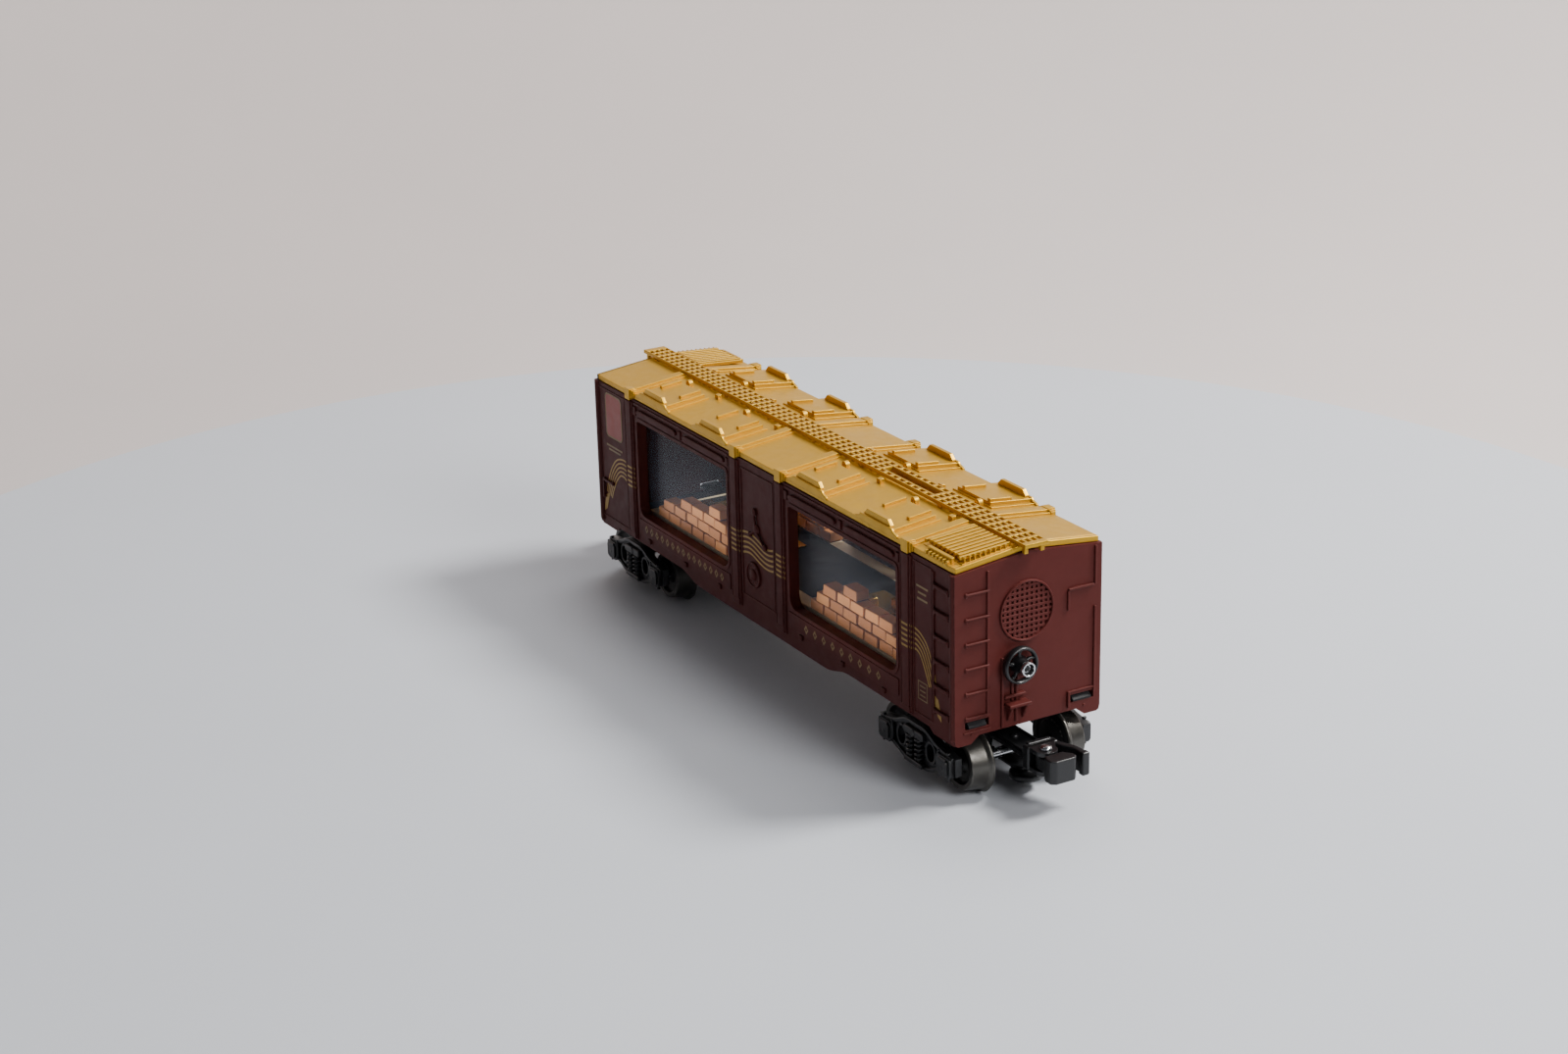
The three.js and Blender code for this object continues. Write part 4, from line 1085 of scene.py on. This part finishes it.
# ---------------------------------------------------------------- floor
def floor():
    """The underframe: a plate with a centre sill, cross bearers and the tabs that lock into the ends."""
    bores = [circle(x, 0, KINGPIN_BORE, 24) for x in (-TRUCK_X, TRUCK_X)]
    screw_holes = [circle(x, 0, 1.7, 20) for x in (-30, 30)]
    form = plate("z", rectangle(-115.9, 115.9, -23.6, 23.6), 22.0, 24.0, bores + screw_holes).soft(0.25)
    form.join(plate("z", rounded_rectangle(-52, 52, -9, 9, 2, 2, 4), 19.4, 22.2, screw_holes).soft(0.3))
    for x in (-46, -38, -16, -8, 0, 8, 16, 38, 46):
        for side in (-1, 1):
            form.box(x - 0.7, x + 0.7, *sorted((side * 8.8, side * 22.8)), 20.4, 22.3, 0.25)
    for y in (-22.4, 22.4):
        form.box(-52, 52, y - 0.6, y + 0.6, 20.4, 22.3, 0.25)
    boss = [(KINGPIN_BORE, 21.2), (6, 21.2), (6, 22.3), (KINGPIN_BORE, 22.3)]
    for x in (-TRUCK_X, TRUCK_X):
        form.join(turned(boss, "z", (x, 0, 0), 40, closed=True).soft(0.15))
    tabs = Form()
    for y0, y1 in ((-21.6, -15.2), (16.2, 23)):
        tabs.box(112.9, 115.9, y0, y1, 23.5, 26.6, 0.25)
        wedge = [(114.9, 24.6), (118.6, 24.6), (118.6, 25.2), (117.0, 26.6), (114.9, 26.6)]
        tabs.join(plate("y", wedge, y0, y1).soft(0.15))
    return form.join(tabs.both())


piece("underframe", floor(), BLACK, CAR, ["floor_pan"])
for place in ("left", "right"):
    repaint(f"tray_screw_{place}", STEEL)


# ---------------------------------------------------------------- hand brake
BRAKE_FACE = HALF_LENGTH + 1.1


def brake_wheel():
    """A rim, a hub and five bent spokes."""
    rim = [(5.37 + 0.62 * cos(a), BRAKE_FACE + 1.3 + 1.28 * sin(a))
           for a in (2 * pi * n / 14 for n in range(14))]
    hub = [(1.15, 0.1), (2.9, 0.1), (2.95, 0.9), (2.2, 2.2), (2.1, 4.2), (1.9, 4.35), (1.15, 4.35)]
    centre = (0, BRAKE_Y, BRAKE_Z)
    form = turned(rim, "x", centre, 56, closed=True)
    form.join(turned([(r, BRAKE_FACE + h) for r, h in hub], "x", centre, 40, closed=True))
    for spoke in range(5):
        angle = 2 * pi * spoke / 5 + 0.3
        direction = Vector((0, cos(angle), sin(angle)))
        side = Vector((0, -sin(angle), cos(angle)))
        base = Vector((BRAKE_FACE + 1.2, BRAKE_Y, BRAKE_Z))
        path = [base + direction * r + side * (0.35 * sin((r - 2) * 1.1)) + Vector((0.25 * cos(r), 0, 0))
                for r in (2.0, 2.7, 3.4, 4.1, 4.9)]
        form.join(sweep(path, 0.55, 12))
    return form


def brake_rivet():
    """A bright rivet with a hollow in its head, the inside of the hollow painted black as painted shade."""
    profile = [(0, -5.6), (1.5, -5.6), (1.7, -5.4), (1.7, -4.8), (1.05, -4.4), (1.05, 4.2), (1.05, 4.65),
               (2.2, 4.7), (2.4, 4.85), (2.4, 5.6), (2.2, 5.9), (1.85, 5.9), (1.7, 5.7), (1.5, 4.9),
               (0.9, 4.4), (0, 4.3)]
    # The faces inside the hollow take the black finish: painted shade.
    paints = [0] * (len(profile) - 4) + [1] * 3
    return turned([(r, BRAKE_FACE + h) for r, h in profile], "x", (0, BRAKE_Y, BRAKE_Z), 40, paints=paints)


piece("hand_brake_wheel", brake_wheel(), TRUCK, "brake_wheel", ["brake_wheel"])
piece("hand_brake_rivet", brake_rivet(), [STEEL, TRUCK], CAR, ["brake_wheel_rivet"])


# ---------------------------------------------------------------- trucks
# Each piece is made about the truck's own centre, with the coupler towards +X.
HEAD_X = 28.5
PIN_X = 35.0
PIN_Y = -1.4
FLAP_X = 8.6
FLAP_Z = 7.0
DISC_X = 23.0
FRAME_OUTER = 25.0
FRAME_INNER = 22.3


def coil(x, y, radius, z0, z1, turns):
    """A spring of round wire with its axis upright."""
    steps = 14 * turns
    path = [(x + radius * cos(2 * pi * turns * s / steps), y + radius * sin(2 * pi * turns * s / steps),
             z0 + (z1 - z0) * s / steps) for s in range(steps + 1)]
    return sweep(path, 0.42, 8)


def bow(half):
    """A line that is the same on both sides of u = 0, from its half that starts there."""
    return smooth_path([(-u, v, 0) for u, v in half[:0:-1]] + [(u, v, 0) for u, v in half], 3)


def side_frame():
    """The right-hand frame: an arched casting with axle boxes, spring nest and brake hangers."""
    out, back = -FRAME_OUTER, -FRAME_INNER
    top = bow([(0, 18.6), (4.6, 18.6), (7.5, 17.8), (12, 15.9), (17.5, 14.9), (21.3, 14.2)])
    low = bow([(0, 4.6), (5.5, 4.6), (8.4, 5.2), (12.4, 6.9), (17, 7.5), (21.3, 8.4)])[::-1]
    holes = [ellipse(side * 8.2, 11.6, 2.1, 2.9) for side in (-1, 1)]
    form = plate("y", [(p.x, p.y) for p in top + low], out + 0.5, back, holes).soft(0.25)
    for line in (top, low):
        path = offset_line([Vector((p.x, p.y)) for p in line], -0.75)
        form.join(ribbon("y", path[1:-1], 1.3, out - 0.25, out + 0.8).soft(0.25))
    for side, hole in zip((-1, 1), holes):
        form.join(plate("y", ellipse(side * 8.2, 11.6, 3.0, 3.8), out - 0.1, out + 0.8, [hole]).soft(0.2))
        x = side * WHEELBASE / 2
        case = rounded_rectangle(x - 3.6, x + 3.6, 7.2, 14, 1.6, 1.0, 5)
        form.join(plate("y", case, out - 1.0, back - 0.5).soft(0.3))
        lid = rounded_rectangle(x - 2.7, x + 2.7, 8.0, 12.9, 1.2, 0.6, 5)
        form.join(plate("y", lid, out - 1.55, out - 0.6).soft(0.35))
        form.join(rod(0.55, x - 1.9, x + 1.9, "x", (0, out - 1.0, 13.1), 14))
        knob = [(0, out - 1.6), (0.7, out - 1.58), (1.0, out - 1.4), (1.0, out - 0.8), (0, out - 0.8)]
        form.join(turned(knob, "y", (x, 0, 10.2), 20))
        for z in (15.0, 6.6):
            form.join(rod(0.5, out - 0.5, out + 0.6, "y", (x + side * 1.6, 0, z), 12).soft(0.1))
        form.join(coil(side * 2.3, out - 0.1, 1.35, 6.6, 14.2, 5))
        form.join(rod(0.8, 6.0, 14.6, "z", (side * 2.3, out - 0.1, 0), 14))
        arm = smooth_path([(side * 13.4, out - 0.1, 15.0), (side * 12.6, out - 0.5, 12.0),
                           (side * 12.9, out - 0.3, 8.4)], 4)
        form.join(sweep(arm, 0.5, 10))
    form.box(-5.4, 5.4, out - 1.3, back - 0.5, 14.2, 16.7, 0.45, 3)
    form.box(-4.9, 4.9, out - 1.5, back - 0.5, 5.0, 6.7, 0.4, 3)
    rivet = [(0, out - 1.55), (1.1, out - 1.5), (1.3, out - 1.2), (1.3, out - 0.6), (0, out - 0.6)]
    return form.join(turned(rivet, "y", (0, 0, 15.5), 20))


def bolster():
    """The cross beam with the raised centre bearing that the car turns on."""
    form = block(-5, 5, -22, 22, 14.6, 17.9).soft(0.5, 3)
    form.box(-3.2, 3.2, -21.6, 21.6, 17.4, 18.1)
    bearing = [(KINGPIN_BORE, 14.6), (6.0, 14.6), (6.4, 15.0), (6.4, 20.4), (6.1, 20.7),
               (KINGPIN_BORE, 20.7)]
    form.join(turned(bearing, "z", (0, 0, 0), 48, closed=True))
    rivet = [(0, 18.6), (0.9, 18.5), (1.3, 18.0), (1.3, 17.2), (0, 17.2)]
    for side in (-1, 1):
        form.join(turned(rivet, "z", (0, side * 15.5, 0), 20))
    return form


def drawbar():
    """The arm from the kingpin to the coupler head, with hangers for the uncoupling flap."""
    end = HEAD_X - 0.3
    outline = [(-6, -4.5), (-4.5, -6), (6, -6), (12, -4.6), (end, -4.6), (end, 4.6), (12, 4.6), (6, 6),
               (-4.5, 6), (-6, 4.5)]
    form = plate("z", outline, 12.7, 14.3, [circle(0, 0, KINGPIN_BORE, 28)]).soft(0.3)
    hanger = [(FLAP_X - 2.2, 12.9), (FLAP_X + 2.2, 12.9), *arc(FLAP_X, FLAP_Z, 1.5, 0, -180, 8)]
    eye = circle(FLAP_X, FLAP_Z, 0.8, 16)
    for y in (-3.9, 3.9):
        form.box(8, HEAD_X - 0.6, y - 0.5, y + 0.5, 14.0, 14.9, 0.25)
    for y in (-4.6, 4.6):
        form.join(plate("y", hanger, y - 0.5, y + 0.5, [eye]).soft(0.15))
    rivet = [(0, 15.2), (0.9, 15.1), (1.3, 14.7), (1.3, 14.0), (0, 14.0)]
    for x in (16.5, 24.5):
        form.join(turned(rivet, "z", (x, 0, 0), 20))
    return form


def coupler_head():
    """The back plate, the two ears that hold the knuckle, and the fixed jaw."""
    form = block(HEAD_X, HEAD_X + 3.4, -5.6, 5.6, 10, 17.6).soft(0.7, 3)
    form.box(HEAD_X - 0.1, HEAD_X + 1.6, -4.2, 4.2, 9.6, 18.0, 0.4, 3)
    ear = [(HEAD_X + 2, -5), *arc(PIN_X, PIN_Y, 3.6, -90, 90, 14), (HEAD_X + 2, 5)]
    for z0, z1 in ((10, 11.4), (16.2, 17.6)):
        form.join(plate("z", ear, z0, z1, [circle(PIN_X, PIN_Y, 1.2, 24)]).soft(0.3, 3))
    jaw = smooth_path([(HEAD_X + u, v, 0) for u, v in ((2, 4.4), (5.5, 5.4), (9.5, 7.2), (14.6, 7.5))], 5)
    form.join(ribbon("z", [(p.x, p.y) for p in jaw], 2.2, 10.3, 17.3).soft(0.55, 3))
    return form.box(HEAD_X + 12.8, HEAD_X + 15.2, 6.0, 8.7, 9.9, 17.5, 0.6, 3)


def knuckle():
    """The arm on its pin and the hooked nose."""
    arm = [*arc(PIN_X, PIN_Y, 3, 90, 270, 16), (PIN_X + 5.6, PIN_Y - 3), (PIN_X + 5.6, PIN_Y + 3)]
    form = plate("z", arm, 11.8, 15.8, [circle(PIN_X, PIN_Y, 1.2, 24)]).soft(0.35, 3)
    nose = [(4.1, -3.4), (6, -4.2), (8.6, -4.2), (9.6, -2.6), (9.6, 4), (8.4, 5.2), (6.6, 5.2), (5, 3.6),
            (4.1, 3.2)]
    return form.join(plate("z", [(PIN_X + u, PIN_Y + v) for u, v in nose], 10, 17.6).soft(0.8, 4))


def knuckle_pin():
    profile = [(0, 9.3), (1.6, 9.3), (1.7, 9.4), (1.7, 9.8), (0.85, 9.8), (0.85, 17.8), (1.9, 17.8),
               (1.9, 18.0), (1.7, 18.35), (1.2, 18.65), (0.6, 18.78), (0, 18.8)]
    return turned(profile, "z", (PIN_X, PIN_Y, 0), 40)


def uncoupling_flap():
    """The hinged plate under the drawbar with the disc that a track magnet pulls down."""
    x = DISC_X
    outline = [(FLAP_X - 1.4, -3.2), (x - 3, -3.4), (x + 1, -2.2), (x + 1, 2.2), (x - 3, 3.4),
               (FLAP_X - 1.4, 3.2)]
    form = plate("z", outline, FLAP_Z - 1, FLAP_Z + 0.2).soft(0.3)
    lug = [*arc(FLAP_X, FLAP_Z, 1.6, -20, 200, 12), (FLAP_X - 1.55, FLAP_Z - 0.9),
           (FLAP_X + 1.55, FLAP_Z - 0.9)]
    for y in (-3, 3):
        form.join(plate("y", lug, y - 0.7, y + 0.7, [circle(FLAP_X, FLAP_Z, 0.85, 16)]).soft(0.12))
    disc = [(0, 3.4), (4.7, 3.4), (5.2, 3.7), (5.4, 4.3), (5.3, 5.2), (4.9, 5.6), (1.8, 5.8), (1.6, 5.95),
            (1.6, FLAP_Z - 0.5), (0, FLAP_Z - 0.5)]
    form.join(turned(disc, "z", (x, 0, 0), 56))
    rivet = [(0, FLAP_Z + 0.8), (0.9, FLAP_Z + 0.65), (1.1, FLAP_Z + 0.1), (0, FLAP_Z + 0.1)]
    return form.join(turned(rivet, "z", (x, 0, 0), 20))


def flap_pin():
    profile = [(0, -5.4), (0.45, -5.4), (0.6, -5.2), (0.6, 5.2), (0.45, 5.4), (0, 5.4)]
    return turned(profile, "y", (FLAP_X, 0, FLAP_Z), 20)


def wheel():
    """The wheel on the +Y side: tread and flange turned bright, the rest dark."""
    back, outer = 13.4, 20.6
    profile = [(1.55, back), (6.0, back + 0.1), (6.4, back + 0.5), (8.2, back + 0.5), (8.6, back),
               (9.7, back), (10.05, back + 0.25), (10.2, back + 0.65), (10.05, back + 1.05),
               (9.5, back + 1.45), (9.2, back + 1.75), (9.05, back + 2.1), (8.35, outer - 0.4), (8.1, outer),
               (6.7, outer), (6.4, outer - 0.2), (6.0, outer - 1.2), (5.4, outer - 1.45), (3.2, outer - 1.5),
               (2.9, outer - 1.1), (2.6, outer - 0.5), (1.55, outer - 0.5)]
    paints = [1 if 5 <= number <= 13 else 0 for number in range(len(profile))]
    return turned(profile, "y", (0, 0, 0), 72, closed=True, paints=paints)


def axle():
    profile = [(0, -24.2), (0.6, -24.2), (1.0, -23.4), (1.0, -21.4), (1.5, -21.0), (1.5, 21.0), (1.0, 21.4),
               (1.0, 23.4), (0.6, 24.2), (0, 24.2)]
    return turned(profile, "y", (0, 0, 0), 28)


def kingpin():
    profile = [(0, 11.3), (3.0, 11.3), (3.4, 11.6), (3.4, 12.3), (2.0, 12.3), (2.0, 24.6), (3.2, 24.6),
               (3.2, 25.4), (3.0, 25.6), (0, 25.6)]
    return turned(profile, "z", (0, 0, 0), 32)


TRUCK_PIECES = (
    ("bolster", bolster, TRUCK, "", "truck_black"),
    ("side_frame_right", side_frame, TRUCK, "", "truck_black"),
    ("side_frame_left", lambda: side_frame().half_turn(), TRUCK, "", "truck_black"),
    ("drawbar", drawbar, TRUCK, "", "truck_black"),
    ("coupler_head", coupler_head, TRUCK, "", "truck_black"),
    ("knuckle_pin", knuckle_pin, STEEL, "", "bright_steel"),
    ("knuckle", knuckle, TRUCK, "_knuckle", "truck_black"),
    ("uncoupling_flap", uncoupling_flap, TRUCK, "_uncoupling_flap", "truck_black"),
    ("flap_pin", flap_pin, STEEL, "", "bright_steel"),
)

for truck, x, turned_round in (("brake_end_truck", TRUCK_X, False), ("plain_end_truck", -TRUCK_X, True)):
    def placed(form):
        return (form.half_turn() if turned_round else form).moved(x, 0, 0)
    for name, make, material, body, slot in TRUCK_PIECES:
        piece(f"{truck}_{name}_cast", placed(make()), material, truck + body, [f"{truck}_{name}"])
    piece(f"{truck}_kingpin_turned", placed(kingpin()), STEEL, CAR, [f"{truck}_kingpin"])
    for end, side in (("outer", 1), ("inner", -1)):
        def set_at(form):
            return placed(form.moved(side * WHEELBASE / 2, 0, AXLE_Z))
        body = f"{truck}_{end}_wheelset"
        piece(f"{truck}_{end}_axle_turned", set_at(axle()), STEEL, body,
              [f"{truck}_{end}_axle"])
        for hand, disc in (("left", wheel()), ("right", wheel().half_turn())):
            piece(f"{truck}_{end}_wheel_{hand}_turned", set_at(disc), [WHEEL, TREAD], body,
                  [f"{truck}_{end}_wheel_{hand}"])


# ---------------------------------------------------------------- camera, stage and lights
CAMERA_PLACE = (0.74425, -0.43578, 0.36426)
CAMERA_AXES = ((0.49846, 0.86660, -0.02325), (-0.28722, 0.19039, 0.93875), (0.81795, -0.46125, 0.34381))
FOCAL_LENGTH = 63.29
TABLE_CENTRE = (-0.001, -0.023)
TABLE_RADIUS = 0.373
BACKDROP_FOOT = TABLE_RADIUS + 0.12
BACKDROP_Z = -0.012
BACKDROP_CURVE = 0.9
BACKDROP_TOP = 2.2
STAGE_STEPS = 160
LIGHTS = (
    # name, place, target, size, power, colour
    ("key", (0.4, 0.95, 1.15), (0, 0, 0.02), 0.45, 38, (1.0, 0.985, 0.96)),
    ("end", (1.4, 0.3, 0.95), (0.1, 0, 0.04), 0.7, 19, (1.0, 0.99, 0.98)),
    ("back", (-0.6, 0.5, 1.6), (0, 0, 0.02), 0.9, 10, (1.0, 1.0, 1.0)),
)


def put_in_scene(name, data):
    obj = bpy.data.objects.new(name, data)
    bpy.context.scene.collection.objects.link(obj)
    return obj


def camera():
    data = bpy.data.cameras.new("camera")
    data.lens = FOCAL_LENGTH
    data.sensor_width = 36
    data.clip_start = 0.01
    data.clip_end = 20
    obj = put_in_scene("camera", data)
    matrix = Matrix(CAMERA_AXES).transposed().to_4x4()
    matrix.translation = CAMERA_PLACE
    obj.matrix_world = matrix
    bpy.context.scene.camera = obj


def stage_material(name, colour, rough, variation):
    nodes = Nodes(name)
    colour = linear(*colour)
    patches = nodes.ramp(nodes.noise(4, 5, 0.6), 0.3, 0.7, 0, 1)
    nodes.link(nodes.mix(patches, shaded(colour, 1 - variation), shaded(colour, 1 + variation)),
               nodes.shader.inputs["Base Color"])
    nodes.shader.inputs["Roughness"].default_value = rough
    return nodes.material


def revolve_stage(name, profile, material, start=0, end=360, lid=False):
    """A stage surface turned about the table's centre line, in metres, between two angles."""
    x, y = TABLE_CENTRE
    full = end - start == 360
    columns = STAGE_STEPS if full else STAGE_STEPS + 1
    verts = []
    for radius, height in profile:
        for step in range(columns):
            angle = radians(start + (end - start) * step / STAGE_STEPS)
            verts.append((x + radius * cos(angle), y + radius * sin(angle), height))
    faces = [list(range(columns))] if lid else []
    for ring in range(len(profile) - 1):
        low, high = ring * columns, (ring + 1) * columns
        for step in range(STAGE_STEPS):
            after = (step + 1) % columns
            faces.append([low + step, low + after, high + after, high + step])
    mesh = bpy.data.meshes.new(name)
    mesh.from_pydata(verts, [], faces)
    mesh.polygons.foreach_set("use_smooth", [True] * len(mesh.polygons))
    mesh.set_sharp_from_angle(angle=radians(40))
    mesh.materials.append(material)
    obj = put_in_scene(name, mesh)


def stage():
    """A round table and a backdrop that curves up behind it."""
    edge = [(TABLE_RADIUS - 0.002, 0.0), (TABLE_RADIUS, -0.0015), (TABLE_RADIUS, BACKDROP_Z)]
    revolve_stage("table", edge, stage_material("pale_table", (192, 196, 203), 0.55, 0.02), lid=True)
    bend = [(BACKDROP_FOOT + BACKDROP_CURVE * sin(angle), BACKDROP_Z + BACKDROP_CURVE * (1 - cos(angle)))
            for angle in (radians(90 * step / 24) for step in range(1, 25))]
    wall = [(0.05, BACKDROP_Z), (BACKDROP_FOOT, BACKDROP_Z), *bend, (TABLE_RADIUS + 1.02, BACKDROP_TOP)]
    revolve_stage("backdrop", wall, stage_material("warm_backdrop", (200, 191, 188), 0.8, 0.02), 70, 232)


def area_light(name, place, target, size, power, colour):
    data = bpy.data.lights.new(name, "AREA")
    data.shape = "DISK"
    data.size = size
    data.energy = power
    data.color = colour
    obj = put_in_scene(name, data)
    obj.location = place
    obj.rotation_euler = (Vector(target) - Vector(place)).to_track_quat("-Z", "Y").to_euler()
    return data


def lights():
    """Three soft lights, and a narrow beam on the bars behind each near window."""
    for light in LIGHTS:
        area_light(*light)
    for middle in WINDOWS:
        x = middle * MM
        beam = area_light("window_beam", (x, -0.75, 0.05), (x, 0, 0.044), 0.05, 0.0031, (1.0, 0.92, 0.82))
        beam.shape = "RECTANGLE"
        beam.size_y = 0.014
        beam.spread = radians(2.5)


def world():
    """A dim pale sky that lights the car, and a flat background that only the camera sees."""
    studio = bpy.data.worlds.new("studio")
    studio.use_nodes = True
    nodes, link = studio.node_tree.nodes, studio.node_tree.links.new
    sky = nodes["Background"]
    sky.inputs["Color"].default_value = linear(224, 228, 236)
    sky.inputs["Strength"].default_value = 0.12
    seen = nodes.new("ShaderNodeBackground")
    seen.inputs["Color"].default_value = linear(200, 196, 194)
    paths = nodes.new("ShaderNodeLightPath")
    blend = nodes.new("ShaderNodeMixShader")
    link(paths.outputs["Is Camera Ray"], blend.inputs[0])
    link(sky.outputs[0], blend.inputs[1])
    link(seen.outputs[0], blend.inputs[2])
    link(blend.outputs[0], nodes["World Output"].inputs[0])
    bpy.context.scene.world = studio


stage()
lights()
world()
camera()


def corners(bounds):
    return [[float(value) for value in corner] for corner in bounds]
